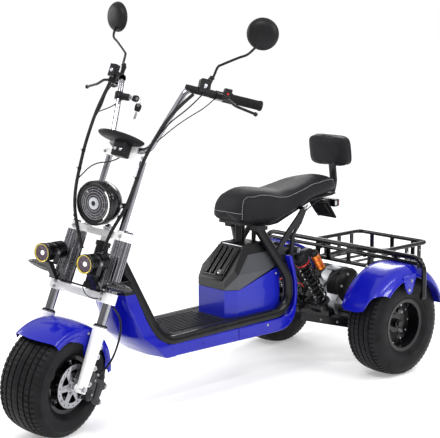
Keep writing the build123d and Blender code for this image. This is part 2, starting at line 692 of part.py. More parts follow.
with BuildPart() as rack_stays:
    for y in (-150, 150):
        with BuildLine() as stay:
            FilletPolyline(at(-1400, y, 226), at(-1470, y, 330), at(-1478, y, RACK_Z - 7), radius=[60])
        with BuildSketch(Plane(stay.line ^ 0)):
            Rectangle(22, 10)
        sweep(path=stay.line)
    with BuildSketch(side(0)):
        with Locations((-1478, RACK_Z - 7)):
            Rectangle(24, 8)
    extrude(amount=160, both=True)
    for sgn in (1, -1):
        with BuildSketch(side(sgn * 240)):
            with Locations((-WHEELBASE, AXLE_Z + 113)):
                Rectangle(26, 226)
        extrude(amount=-sgn * 10)
        with BuildSketch(side(sgn * 240)):
            with Locations((-WHEELBASE, AXLE_Z + FENDER_R + 10)):
                Rectangle(26, 8)
        extrude(amount=-sgn * 18)
    add(rear_axle.part, mode=Mode.SUBTRACT)
    add(drive_motor.part, mode=Mode.SUBTRACT)
    add(rack_basket.part, mode=Mode.SUBTRACT)
    add(rack_hoop.part, mode=Mode.SUBTRACT)
    add(fender_left_part, mode=Mode.SUBTRACT)
    add(fender.part, mode=Mode.SUBTRACT)
rack_stays.part.label = "rack_stays"
export_step(rack_stays.part, "parts/rack_stays.step")

# ---------------------------------------------------------------- rear wheels (axle along Y)
RIM_R = 97.0
for name, sgn in (("left", 1), ("right", -1)):
    with BuildPart() as rear_rim:
        with BuildSketch(Plane.XY):
            with BuildLine():
                Polyline((RIM_R, -58), (RIM_R, 58), (RIM_R + 8, 61), (RIM_R + 8, 64), (RIM_R - 6, 62), (RIM_R - 7, 10), (40, -4),
                         (38, 16), (16, 16), (16, 28), (12, 28), (12, -70), (34, -70), (36, -20), (RIM_R - 5, -8), (RIM_R - 6, -62),
                         (RIM_R + 8, -64), (RIM_R + 8, -61), (RIM_R, -58))
            make_face()
        revolve(axis=Axis.Y)
    if sgn < 0:
        rear_rim.part = rear_rim.part.mirror(Plane.XZ)
    with BuildPart() as rear_tyre:
        h = REAR_W / 2
        with BuildSketch(Plane.XY):
            with BuildLine():
                Spline((RIM_R, 58), (RIM_R + 22, h - 6), (RIM_R + 55, h), (REAR_R - 16, h - 12), (REAR_R - 3, h - 36), (REAR_R, 0),
                       (REAR_R - 3, 36 - h), (REAR_R - 16, 12 - h), (RIM_R + 55, -h), (RIM_R + 22, 6 - h), (RIM_R, -58))
                Line((RIM_R, -58), (RIM_R, 58))
            make_face()
        revolve(axis=Axis.Y)
        add(rear_rim.part, mode=Mode.SUBTRACT)
    rear_tyre.part = rear_tyre.part.moved(Location((AXLE_X, sgn * REAR_Y, AXLE_Z)))
    rear_tyre.part.label = f"rear_tyre_{name}"
    export_step(rear_tyre.part, f"parts/rear_tyre_{name}.step")
    rear_rim.part = rear_rim.part.moved(Location((AXLE_X, sgn * REAR_Y, AXLE_Z)))
    rear_rim.part.label = f"rear_rim_{name}"
    export_step(rear_rim.part, f"parts/rear_rim_{name}.step")

# ---------------------------------------------------------------- front wheel (drawn in the steering frame)
FRIM_R = 93.0
with BuildPart() as front_rim:
    with BuildSketch(Plane.XY):
        with BuildLine():
            Polyline((FRIM_R, -62), (FRIM_R, 62), (FRIM_R + 7, 65), (FRIM_R + 7, 68), (FRIM_R - 5, 66), (FRIM_R - 6, 24), (36, 14),
                     (34, 40), (24, 44), (24, 83.5), (8.5, 83.5), (8.5, -84), (26, -84), (28, -16), (FRIM_R - 6, 8), (FRIM_R - 5, -66),
                     (FRIM_R + 7, -68), (FRIM_R + 7, -65), (FRIM_R, -62))
        make_face()
    revolve(axis=Axis.Y)
with BuildPart() as front_tyre:
    h = FRONT_W / 2
    with BuildSketch(Plane.XY):
        with BuildLine():
            Spline((FRIM_R, 62), (FRIM_R + 20, h - 8), (FRIM_R + 50, h), (FRONT_R - 20, h - 14), (FRONT_R - 5, h - 42), (FRONT_R, 0),
                   (FRONT_R - 5, 42 - h), (FRONT_R - 20, 14 - h), (FRIM_R + 50, -h), (FRIM_R + 20, 8 - h), (FRIM_R, -62))
            Line((FRIM_R, -62), (FRIM_R, 62))
        make_face()
    revolve(axis=Axis.Y)
    add(front_rim.part, mode=Mode.SUBTRACT)
front_tyre.part = front_tyre.part.moved(STEER)
front_tyre.part.label = "front_tyre"
export_step(front_tyre.part, "parts/front_tyre.step")
print("front tyre lowest point", round(front_tyre.part.bounding_box().min.Z, 3))
front_rim.part = front_rim.part.moved(STEER)
front_rim.part.label = "front_rim"
export_step(front_rim.part, "parts/front_rim.step")

with BuildPart() as brake_disc:
    with BuildSketch(Plane(origin=(0, 84, 0), x_dir=(1, 0, 0), z_dir=(0, 1, 0))):
        Circle(76.5)
        Circle(12, mode=Mode.SUBTRACT)
        with PolarLocations(45, 6):
            with BuildLine():
                Polyline((-13, -9), (13, -13), (10, 13), (-13, -9))
            make_face(mode=Mode.SUBTRACT)
        with PolarLocations(69, 18):
            Circle(3, mode=Mode.SUBTRACT)
    extrude(amount=3.6)
brake_disc.part = brake_disc.part.moved(STEER)
brake_disc.part.label = "brake_disc"
export_step(brake_disc.part, "parts/brake_disc.step")

# ---------------------------------------------------------------- fork (drawn in the steering frame)
with BuildPart() as front_axle:
    with BuildSketch(across(-132)):
        Circle(8)
    extrude(amount=-264)
    for y in (-132, 124):
        with BuildSketch(across(y)):
            RegularPolygon(13, 6)
        extrude(amount=-8)

with BuildPart() as fork_sliders:
    for sgn in (1, -1):
        with BuildSketch(Plane.XY.offset(-14)):
            with Locations((LEG_U, sgn * LEG_Y)):
                Circle(17.5)
        with BuildSketch(Plane.XY.offset(206)):
            with Locations((LEG_U, sgn * LEG_Y)):
                Circle(24)
        loft()
        with BuildSketch(Plane.XY.offset(206)):
            with Locations((LEG_U, sgn * LEG_Y)):
                Circle(25)
        extrude(amount=11)
        with BuildSketch(across(sgn * LEG_Y)):
            with Locations((-3, 0)):
                Circle(15)
        extrude(amount=16, both=True)
    for u, s in ((-34, 150), (-36, 116), (-38, 76), (-34, 20)):
        with BuildSketch(across(LEG_Y)):
            with Locations((u, s)):
                Circle(9)
            with Locations(((u + LEG_U) / 2, s)):
                Rectangle(abs(u - LEG_U), 12)
            with Locations((u, s)):
                Circle(3.2, mode=Mode.SUBTRACT)
        extrude(amount=7, both=True)
    for sgn in (1, -1):
        with BuildSketch(Plane.XY.offset(150)):
            with Locations((LEG_U, sgn * LEG_Y)):
                Circle(16)
        extrude(amount=70, mode=Mode.SUBTRACT)
    add(front_axle.part, mode=Mode.SUBTRACT)

with BuildPart() as fork_tubes:
    for sgn in (1, -1):
        with BuildSketch(Plane.XY.offset(150)):
            with Locations((LEG_U, sgn * LEG_Y)):
                Circle(16)
        extrude(amount=YOKE_UP + 18 - 150)

SHROUD_Y = 112.0
with BuildPart() as fork_shrouds:
    for sgn in (1, -1):
        with BuildSketch(Plane.XY.offset(YOKE_LOW + 32)):
            with Locations((LEG_U, sgn * SHROUD_Y)):
                Ellipse(19, 24)
                Circle(1)
        extrude(amount=YOKE_UP - 15 - YOKE_LOW - 32)
        for k in range(14):
            a = math.radians(k * 360 / 14)
            with BuildSketch(Plane.XY.offset(YOKE_LOW + 32)):
                with Locations((LEG_U + 19.5 * math.cos(a), sgn * SHROUD_Y + 24.5 * math.sin(a))):
                    Circle(2.8)
            extrude(amount=YOKE_UP - 15 - YOKE_LOW - 32)
    add(fork_tubes.part, mode=Mode.SUBTRACT)

with BuildPart() as lower_yoke:
    for sgn in (1, -1):
        with BuildSketch(Plane.XY.offset(YOKE_LOW - 6)):
            with Locations((LEG_U, sgn * LEG_Y)):
                Circle(27)
            with Locations((LEG_U + 6, sgn * (LEG_Y - 6))):
                RectangleRounded(44, 44, 8)
        extrude(amount=37)
    with BuildSketch(Plane.XY.offset(YOKE_LOW - 4)):
        with BuildLine():
            Polyline((LEG_U + 22, LEG_Y), (LEG_U + 26, 60), (LEG_U + 12, 30), (LEG_U + 12, -30), (LEG_U + 26, -60), (LEG_U + 22, -LEG_Y),
                     (LEG_U - 20, -LEG_Y), (-AXIS_BACK - 24, -30), (-AXIS_BACK - 24, 30), (LEG_U - 20, LEG_Y), close=True)
        make_face()
    extrude(amount=28)
    add(fork_tubes.part, mode=Mode.SUBTRACT)

with BuildPart() as steering_stem:
    with BuildSketch(Plane.XY.offset(YOKE_LOW + 24)):
        with Locations((-AXIS_BACK, 0)):
            Circle(14.7)
    extrude(amount=YOKE_UP + 14 - YOKE_LOW - 24)
    with BuildSketch(Plane.XY.offset(YOKE_UP + 14)):
        with Locations((-AXIS_BACK, 0)):
            RegularPolygon(18, 6)
    extrude(amount=9)

with BuildPart() as upper_yoke:
    for sgn in (1, -1):
        with BuildSketch(Plane.XY.offset(YOKE_UP - 15)):
            with Locations((LEG_U, sgn * LEG_Y)):
                Circle(26)
            with Locations((LEG_U - 8, sgn * (LEG_Y - 14))):
                RectangleRounded(48, 50, 8)
        extrude(amount=29)
    with BuildSketch(Plane.XY.offset(YOKE_UP - 13)):
        with BuildLine():
            Polyline((LEG_U + 16, LEG_Y), (LEG_U + 14, 50), (LEG_U - 2, 30), (LEG_U - 2, -30), (LEG_U + 14, -50), (LEG_U + 16, -LEG_Y),
                     (LEG_U - 24, -LEG_Y), (-AXIS_BACK - 24, -34), (-AXIS_BACK - 24, 34), (LEG_U - 24, LEG_Y), close=True)
        make_face()
    extrude(amount=24)
    add(fork_tubes.part, mode=Mode.SUBTRACT)
    add(steering_stem.part, mode=Mode.SUBTRACT)

with BuildPart() as handlebar_posts:
    for sgn in (1, -1):
        with BuildSketch(Plane.XY.offset(YOKE_UP + 14)):
            with Locations((POST_U, sgn * POST_Y)):
                Circle(12.5)
        extrude(amount=CLAMP_S - 13 - YOKE_UP - 14)
        with BuildSketch(Plane.XY.offset(YOKE_LOW + 24)):
            with Locations((-13, sgn * 73)):
                Circle(10)
        extrude(amount=YOKE_UP - 15 - YOKE_LOW - 24)

with BuildPart() as cross_clamp:
    with BuildSketch(Plane.XY.offset(CLAMP_S - 13)):
        with Locations((POST_U, 0)):
            RectangleRounded(38, 2 * POST_Y + 40, 12)
    extrude(amount=22)
    for y in (-34, 34):
        with BuildSketch(Plane.XY.offset(CLAMP_S + 9)):
            with Locations((POST_U, y)):
                Rectangle(34, 24)
        extrude(amount=32)

# ---------------------------------------------------------------- handlebar and controls
BAR_S = CLAMP_S + 24.0
BAR_TOP = (-49, 146, 1088)
BAR_END = (-238, 334, 1113)
BAR = [(BAR_END[0], -BAR_END[1], BAR_END[2]), (BAR_TOP[0], -BAR_TOP[1], BAR_TOP[2]), (POST_U, -84, BAR_S), (POST_U, 84, BAR_S), BAR_TOP, BAR_END]
with BuildPart() as handlebar:
    with BuildLine() as path:
        FilletPolyline(*BAR, radius=[34, 40, 40, 34])
    with BuildSketch(Plane(path.line ^ 0)):
        Circle(BAR_R)
    sweep()
with BuildPart() as cross_clamp_cut:
    add(cross_clamp.part)
    add(handlebar.part, mode=Mode.SUBTRACT)
cross_clamp = cross_clamp_cut

def bar_plane(y_sign, along, lift=0.0):
    """Plane square to the outer part of the handlebar, at a distance along it from the upper bend."""
    t = Vector(BAR_TOP[0], y_sign * BAR_TOP[1], BAR_TOP[2])
    e = Vector(BAR_END[0], y_sign * BAR_END[1], BAR_END[2])
    d = (e - t).normalized()
    return Plane(origin=t + d * along + Vector(0, 0, lift), x_dir=Vector(0, 0, 1).cross(d), z_dir=d)


BAR_LEN = (Vector(*BAR_END) - Vector(*BAR_TOP)).length
GRIP_LEN = 116.0
with BuildPart() as grips:
    for sgn in (1, -1):
        with BuildSketch(bar_plane(sgn, BAR_LEN - GRIP_LEN + 4)):
            Circle(17)
        extrude(amount=GRIP_LEN - 4)
        with BuildSketch(bar_plane(sgn, BAR_LEN)):
            Circle(18.5)
        extrude(amount=5)
    add(handlebar.part, mode=Mode.SUBTRACT)

LEVER_TIP = (-150, 380, 1060)
with BuildPart() as brake_levers:
    for sgn in (1, -1):
        perch = bar_plane(sgn, BAR_LEN - GRIP_LEN - 52)
        with BuildSketch(perch):
            Circle(17.5)
            with Locations((-sgn * 18, -8)):
                RectangleRounded(38, 22, 5)
        extrude(amount=26)
        p = perch.origin - perch.x_dir * (28 * sgn) - Vector(0, 0, 8) + perch.z_dir * 13
        with BuildLine() as blade:
            FilletPolyline(p, p + Vector(-2, sgn * 34, -4), Vector(LEVER_TIP[0] + 30, sgn * (LEVER_TIP[1] - 70), LEVER_TIP[2] + 10), Vector(LEVER_TIP[0], sgn * LEVER_TIP[1], LEVER_TIP[2]), radius=[24, 60])
        with BuildSketch(Plane(blade.line ^ 0)):
            Circle(5)
        sweep(path=blade.line)
        with Locations((LEVER_TIP[0], sgn * LEVER_TIP[1], LEVER_TIP[2])):
            Sphere(8)
    add(handlebar.part, mode=Mode.SUBTRACT)
    add(grips.part, mode=Mode.SUBTRACT)

with BuildPart() as switch_pods:
    with BuildSketch(bar_plane(1, 36, 19)):
        RectangleRounded(38, 46, 4)
    extrude(amount=38)
    with BuildSketch(Plane.XY.offset(1106)):
        with Locations((-120, -253)):
            RectangleRounded(28, 31, 5)
    extrude(amount=44)
    with BuildSketch(bar_plane(-1, 40, 2)):
        RectangleRounded(30, 30, 4)
    extrude(amount=26)
    for sgn in (1, -1):
        with BuildSketch(bar_plane(sgn, BAR_LEN - GRIP_LEN - 24)):
            Circle(19)
        extrude(amount=26)
        with BuildSketch(bar_plane(sgn, BAR_LEN - GRIP_LEN - 24, 18)):
            RectangleRounded(30, 26, 5)
        extrude(amount=26)
    add(handlebar.part, mode=Mode.SUBTRACT)
    add(grips.part, mode=Mode.SUBTRACT)
    add(brake_levers.part, mode=Mode.SUBTRACT)

MIRROR_PATH = [(-98, 194, 1112), (-98, 202, 1150), (-100, 208, 1196), (-118, 306, 1262)]
MIRROR_C = (-127, 328, 1338)
for name, sgn, turn in (("mirror_left", 1, 24), ("mirror_right", -1, 14)):
    with BuildPart() as mirror:
        t = math.radians(sgn * turn)
        back = Vector(math.cos(t) * math.cos(rk), math.sin(t), -math.sin(rk) * math.cos(t)).normalized()
        centre = Vector(MIRROR_C[0], sgn * MIRROR_C[1], MIRROR_C[2])
        up = (Vector(0, 0, 1) - back * back.Z).normalized()
        with BuildLine() as stem_path:
            FilletPolyline(*[(u, sgn * y, s) for u, y, s in MIRROR_PATH], centre - up * 30, radius=[40, 18, 12])
        with BuildSketch(Plane(stem_path.line ^ 0)):
            Circle(4)
        sweep(path=stem_path.line)
        with BuildSketch(Plane(origin=(MIRROR_PATH[0][0], sgn * MIRROR_PATH[0][1], MIRROR_PATH[0][2] - 8), z_dir=(0, 0, 1))):
            Circle(9)
        extrude(amount=46)
        with BuildSketch(Plane(origin=centre - back * 12, z_dir=back)):
            Circle(57)
        with BuildSketch(Plane(origin=centre + back * 4, z_dir=back)):
            Circle(51.5)
        with BuildSketch(Plane(origin=centre + back * 13, z_dir=back)):
            Circle(34)
        loft(ruled=True)
        add(handlebar.part, mode=Mode.SUBTRACT)
        add(switch_pods.part, mode=Mode.SUBTRACT)
        add(brake_levers.part, mode=Mode.SUBTRACT)
    if sgn > 0:
        mirror_left_part = mirror.part
with BuildPart() as mirrors:
    add(mirror_left_part)
    add(mirror.part)

with BuildPart() as dash_display:
    nod = math.radians(9)
    leaf_out = Vector(-math.sin(nod), 0, math.cos(nod))
    leaf_long = Vector(-0.21, 0.978, 0)
    leaf_at = Vector(24, -12, 858)
    with BuildSketch(Plane(origin=leaf_at, x_dir=leaf_long, z_dir=leaf_out)):
        Ellipse(92, 50)
    with BuildSketch(Plane(origin=leaf_at - leaf_out * 12, x_dir=leaf_long, z_dir=leaf_out)):
        Ellipse(66, 34)
    loft()
    with BuildSketch(Plane(origin=leaf_at, x_dir=leaf_long, z_dir=leaf_out)):
        Ellipse(92, 50)
    extrude(amount=8)
    with BuildSketch(Plane.XY.offset(794)):
        with Locations((18, 0)):
            RectangleRounded(40, 52, 5)
    extrude(amount=56)
    add(cross_clamp.part, mode=Mode.SUBTRACT)
    add(handlebar.part, mode=Mode.SUBTRACT)

riser_dir = (Vector(BAR_TOP[0], -BAR_TOP[1], BAR_TOP[2]) - Vector(POST_U, -84, BAR_S)).normalized()
LOCK_AT = Vector(POST_U, -84, BAR_S) + riser_dir * ((1020 - BAR_S) / riser_dir.Z)
with BuildPart() as ignition_lock:
    with BuildSketch(Plane(origin=LOCK_AT - riser_dir * 13, z_dir=riser_dir)):
        Circle(16)
    extrude(amount=26)
    with BuildSketch(Plane(origin=LOCK_AT, z_dir=(0, 1, 0))):
        Circle(12)
    extrude(amount=36)
    add(handlebar.part, mode=Mode.SUBTRACT)
with BuildPart() as keys:
    with BuildSketch(Plane(origin=LOCK_AT + Vector(0, 36, 0), x_dir=(0, 0, 1), z_dir=(0, 1, 0))):
        Rectangle(8, 2)
    extrude(amount=9)
    with BuildSketch(Plane(origin=LOCK_AT + Vector(-3.5, 57, 0), x_dir=(0, 1, 0), z_dir=(1, 0, 0))):
        RectangleRounded(24, 24, 8)
        with Locations((8, 0)):
            Circle(3, mode=Mode.SUBTRACT)
    extrude(amount=7)
    ring_at = Plane(origin=LOCK_AT + Vector(0, 65, -12), x_dir=(0, 0, 1), z_dir=(0, 1, 0))
    with BuildSketch(ring_at):
        Circle(13)
        Circle(10.8, mode=Mode.SUBTRACT)
    extrude(amount=1.8, both=True)
    with BuildSketch(Plane(origin=LOCK_AT + Vector(-3, 65, -38), x_dir=(0, 1, 0), z_dir=(1, 0, 0))):
        RectangleRounded(22, 28, 8)
    extrude(amount=6)
    with BuildSketch(Plane(origin=LOCK_AT + Vector(-1, 65, -66), x_dir=(0, 1, 0), z_dir=(1, 0, 0))):
        Rectangle(8, 30)
    extrude(amount=2)

# ---------------------------------------------------------------- lights
lamp_pitch = rk - math.radians(2.6)
LAMP_DIR = Vector(math.cos(lamp_pitch), 0, -math.sin(lamp_pitch))
LAMP_C = Vector(76.8, 0, 609)
with BuildPart() as headlight:
    lamp = Plane(origin=LAMP_C, x_dir=(0, 1, 0), z_dir=LAMP_DIR)
    for back, r in ((-105, 30), (-95, 50), (-70, 68), (-40, 77), (-15, 76), (0, 72)):
        with BuildSketch(lamp.offset(back)):
            Circle(r)
    loft(ruled=True)
    add(handlebar_posts.part, mode=Mode.SUBTRACT)
with BuildPart() as headlight_mount:
    with BuildSketch(Plane.XY.offset(630)):
        with Locations((-19, 0)):
            Rectangle(20, 2 * POST_Y)
    extrude(amount=14)
    add(handlebar_posts.part, mode=Mode.SUBTRACT)
    add(headlight.part, mode=Mode.SUBTRACT)

spot_pitch = rk - math.radians(3.4)
SPOT_DIR = Vector(math.cos(spot_pitch), 0, -math.sin(spot_pitch))
with BuildPart() as spotlights:
    for sgn in (1, -1):
        c = Vector(146.2, sgn * 94.4, 398.6)
        spot = Plane(origin=c, x_dir=(0, 1, 0), z_dir=SPOT_DIR)
        with BuildSketch(spot.offset(-98)):
            Circle(27)
        extrude(amount=86)
        with BuildSketch(spot.offset(-12)):
            Circle(33)
        extrude(amount=14)
with BuildPart() as spotlight_bracket:
    with BuildSketch(Plane.XY.offset(YOKE_LOW + 27)):
        with Locations((34, 0)):
            RectangleRounded(24, 246, 8)
    extrude(amount=6)
    for sgn in (1, -1):
        with BuildSketch(across(sgn * 94.4)):
            with BuildLine():
                Polyline((38, YOKE_LOW + 28), (52, YOKE_LOW + 28), (110, 374), (112, 381), (88, 381), (38, YOKE_LOW + 34), close=True)
            make_face()
        extrude(amount=11, both=True)
        with BuildSketch(Plane.XY.offset(375)):
            with Locations((100, sgn * 94.4)):
                Rectangle(22, 64)
        extrude(amount=6)
        for y in (30, -30):
            with BuildSketch(Plane.XY.offset(375)):
                with Locations((100, sgn * 94.4 + y)):
                    Rectangle(22, 4)
            extrude(amount=52)
        with BuildSketch(Plane.XY.offset(YOKE_LOW + 24)):
            with Locations((16, sgn * 66)):
                Rectangle(30, 20)
        extrude(amount=9)
    add(spotlights.part, mode=Mode.SUBTRACT)
    add(lower_yoke.part, mode=Mode.SUBTRACT)
    add(fork_tubes.part, mode=Mode.SUBTRACT)
    add(fork_shrouds.part, mode=Mode.SUBTRACT)
with BuildPart() as turn_signals:
    for sgn in (1, -1):
        lift = 0 if sgn > 0 else 6
        with BuildSketch(Plane(origin=(32, sgn * 128, 356 + lift), x_dir=(1, 0, 0), z_dir=(0, sgn, 0))):
            Ellipse(14, 12)
        with BuildSketch(Plane(origin=(34, sgn * 160, 358 + lift), x_dir=(1, 0, 0), z_dir=(0, sgn, 0))):
            Ellipse(17, 14.5)
        with BuildSketch(Plane(origin=(37, sgn * 200, 359 + lift), x_dir=(1, 0, 0), z_dir=(0, sgn, 0))):
            Ellipse(13, 11)
        with BuildSketch(Plane(origin=(40, sgn * 234, 359 + lift), x_dir=(1, 0, 0), z_dir=(0, sgn, 0))):
            Ellipse(4, 4)
        loft()
        with BuildSketch(Plane(origin=(32, sgn * 110, 345), x_dir=(1, 0, 0), z_dir=(0, sgn, 0))):
            Circle(5)
        extrude(amount=20)
        with BuildSketch(Plane.XY.offset(333)):
            with Locations((32, sgn * 116)):
                Circle(7)
        extrude(amount=14)
    add(spotlight_bracket.part, mode=Mode.SUBTRACT)
    add(spotlights.part, mode=Mode.SUBTRACT)
    add(fork_shrouds.part, mode=Mode.SUBTRACT)

# ---------------------------------------------------------------- front fender, caliper
F0, F1 = 33.0, 158.0
with BuildPart() as front_fender:
    a = math.radians(F1)
    with BuildSketch(Plane(origin=(0, 0, 0), x_dir=(math.cos(a), 0, math.sin(a)), z_dir=(-math.sin(a), 0, math.cos(a)))):
        with BuildLine():
            Polyline((174, 93), (188, 93), (200, 86), (209, 60), (213, 0), (209, -60), (200, -86), (188, -93), (174, -93), (174, -90.5),
                     (187, -90.5), (198, -84), (206, -58), (210, 0), (206, 58), (198, 84), (187, 90.5), (174, 90.5), close=True)
        make_face()
    revolve(axis=Axis.Y, revolution_arc=F1 - F0)
    for sgn in (1, -1):
        with BuildSketch(across(sgn * 93)):
            with Locations((LEG_U, 176)):
                RectangleRounded(26, 14, 4)
        extrude(amount=-sgn * 6)
    add(fork_sliders.part, mode=Mode.SUBTRACT)
with BuildPart() as brake_caliper:
    with BuildSketch(across(74)):
        with BuildLine():
            Polyline((-44, 66), (-84, 58), (-96, 20), (-92, -34), (-64, -40), (-52, -10), (-50, 30), close=True)
        make_face()
    extrude(amount=-36)
    with BuildSketch(across(95)):
        with BuildLine():
            Polyline((-84, 46), (-112, 42), (-140, 36), (-154, 28), (-154, 16), (-136, 6), (-132, -20), (-146, -28), (-150, -40), (-138, -46), (-104, -44), (-88, -34), close=True)
        make_face()
    extrude(amount=-14)
    with BuildSketch(across(82.2)):
        Circle(80)
    extrude(amount=-7.2, mode=Mode.SUBTRACT)
    with BuildSketch(across(106)):
        with BuildLine():
            Polyline((-20, 86), (-46, 86), (-70, 50), (-66, 4), (-28, 8), (-28, 80), close=True)
        make_face()
    extrude(amount=-6)
    add(fork_sliders.part, mode=Mode.SUBTRACT)
    add(front_axle.part, mode=Mode.SUBTRACT)

# ---------------------------------------------------------------- cables held at both ends
LOOM_RIGHT = [(-20, -170, 1060), (4, -160, 1006), (22, -156, 938), (28, -154, 868), (30, -152, 800), (30, -146, 735), (30, -138, 665), (30, -120, 600), (28, -94, 548), (22, -66, 500), (14, -40, 456)]
LOOM_LEFT = [(-50, 176, 1070), (-14, 158, 1010), (2, 134, 940), (4, 112, 870), (4, 96, 800), (4, 91, 735), (8, 91, 672), (13, 86, 614), (17, 70, 562), (18, 58, 516), (16, 54, 470)]
LEAD_DASH = [(20, 4, 790), (24, -16, 774), (28, -44, 764), (30, -74, 756), (30, -104, 736), (30, -124, 706)]
BRAKE_HOSE = [(-37, 124, 291), (-64, 124, 280), (-92, 124, 262), (-114, 124, 232), (-126, 122, 192), (-130, 119, 150), (-128, 114, 110), (-116, 106, 74), (-96, 98, 52)]
for label, route, r in (("loom_right", LOOM_RIGHT, 5.5), ("loom_left", LOOM_LEFT, 5.5), ("dash_lead", LEAD_DASH, 2.2), ("brake_hose", BRAKE_HOSE, 3.6)):
    radii = corner_radii(route)
    print(label, "radii", [round(v) for v in radii])
    with BuildPart() as cable:
        with BuildLine() as path:
            FilletPolyline(*route, radius=radii)
        with BuildSketch(Plane(path.line ^ 0)):
            Circle(r)
        sweep()
    length = sum(e.length for e in path.line.edges())
    print(label, "volume over section x length", round(cable.part.volume / (math.pi * r * r * length), 4), "length", round(length, 1))
    if label == "loom_right":
        wiring_looms = cable
    elif label == "brake_hose":
        brake_hose = cable
    else:
        with BuildPart() as bundle:
            add(wiring_looms.part)
            add(cable.part)
        wiring_looms = bundle

with BuildPart() as chrome_tubes:
    add(fork_tubes.part)
    add(fork_shrouds.part)
with BuildPart() as yoke_and_stem:
    add(lower_yoke.part)
    add(steering_stem.part)
with BuildPart() as lock_and_keys:
    add(ignition_lock.part)
    add(keys.part)
with BuildPart() as headlight_set:
    add(headlight.part)
    add(headlight_mount.part)

for piece, label in ((front_axle, "front_axle"), (fork_sliders, "fork_sliders"), (chrome_tubes, "fork_tubes"), (wiring_looms, "wiring_looms"), (brake_hose, "brake_hose"),
                     (yoke_and_stem, "lower_yoke"), (upper_yoke, "upper_yoke"), (handlebar_posts, "handlebar_posts"), (cross_clamp, "cross_clamp"), (handlebar, "handlebar"),
                     (grips, "grips"), (brake_levers, "brake_levers"), (switch_pods, "switch_pods"), (mirrors, "mirrors"),
                     (dash_display, "dash_display"), (lock_and_keys, "ignition_lock"), (headlight_set, "headlight"), (spotlights, "spotlights"),
                     (spotlight_bracket, "spotlight_bracket"), (turn_signals, "turn_signals"), (front_fender, "front_fender"),
                     (brake_caliper, "brake_caliper")):
    piece.part = piece.part.moved(STEER)
    piece.part.label = label
    export_step(piece.part, f"parts/{label}.step")
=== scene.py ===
import bpy, bmesh, math, json, random
from mathutils import Vector, Matrix
from mathutils.bvhtree import BVHTree


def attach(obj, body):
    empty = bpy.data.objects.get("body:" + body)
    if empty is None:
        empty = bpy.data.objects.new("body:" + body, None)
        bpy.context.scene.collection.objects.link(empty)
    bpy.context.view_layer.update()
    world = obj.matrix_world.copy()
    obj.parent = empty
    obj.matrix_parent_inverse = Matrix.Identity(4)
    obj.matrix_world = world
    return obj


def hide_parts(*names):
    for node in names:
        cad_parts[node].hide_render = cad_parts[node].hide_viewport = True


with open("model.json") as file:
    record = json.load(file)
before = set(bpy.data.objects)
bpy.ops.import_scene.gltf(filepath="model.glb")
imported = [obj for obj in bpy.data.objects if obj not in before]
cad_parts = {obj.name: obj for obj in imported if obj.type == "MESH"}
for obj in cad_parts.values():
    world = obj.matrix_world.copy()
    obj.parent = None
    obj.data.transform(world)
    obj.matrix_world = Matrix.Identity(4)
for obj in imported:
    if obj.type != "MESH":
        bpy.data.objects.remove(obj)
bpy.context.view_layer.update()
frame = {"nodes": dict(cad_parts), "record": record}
sc = bpy.context.scene
rnd = random.Random(7)
REC = frame["record"]
J = {j["name"]: j for j in REC["behaviour"]["joints"]}


# ------------------------------------------------------------------ frames: millimetres in, metres out
class Frame3:
    def __init__(s, o, x, y, z):
        s.o, s.x, s.y, s.z = Vector(o), Vector(x).normalized(), Vector(y).normalized(), Vector(z).normalized()

    def __call__(s, x, y, z):
        return s.o + s.x * (x / 1000) + s.y * (y / 1000) + s.z * (z / 1000)

    def d(s, x, y, z):
        return (s.x * x + s.y * y + s.z * z).normalized()


def aim(p, z, hint=(0, 0, 1)):
    """A frame at p whose z runs along the given direction; its x is as near the hint as it can be."""
    z = Vector(z).normalized()
    h = Vector(hint)
    x = h - z * h.dot(z)
    if x.length < 1e-5:
        x = Vector((1, 0, 0)) - z * z.x
    x.normalize()
    return Frame3(p, x, z.cross(x), z)


O = Vector(J["front_wheel_spin"]["pos_m"])
YS = Vector(J["front_wheel_spin"]["axis"]).normalized()
SS = Vector(J["steering_turn"]["axis"]).normalized()
US = YS.cross(SS).normalized()
FX = J["rear_left_spin"]["pos_m"][0] + 1.396
C = Frame3((FX, 0, 0), (1, 0, 0), (0, 1, 0), (0, 0, 1))       # from the floor under the front axle
S = Frame3(O, US, YS, SS)                                       # turns with the fork: ahead, left, up the axis
X, Y, Z = Vector((1, 0, 0)), Vector((0, 1, 0)), Vector((0, 0, 1))


# ------------------------------------------------------------------ materials
def nodes_of(name):
    m = bpy.data.materials.new(name)
    m.use_nodes = True
    t = m.node_tree
    return m, t, t.nodes["Principled BSDF"]


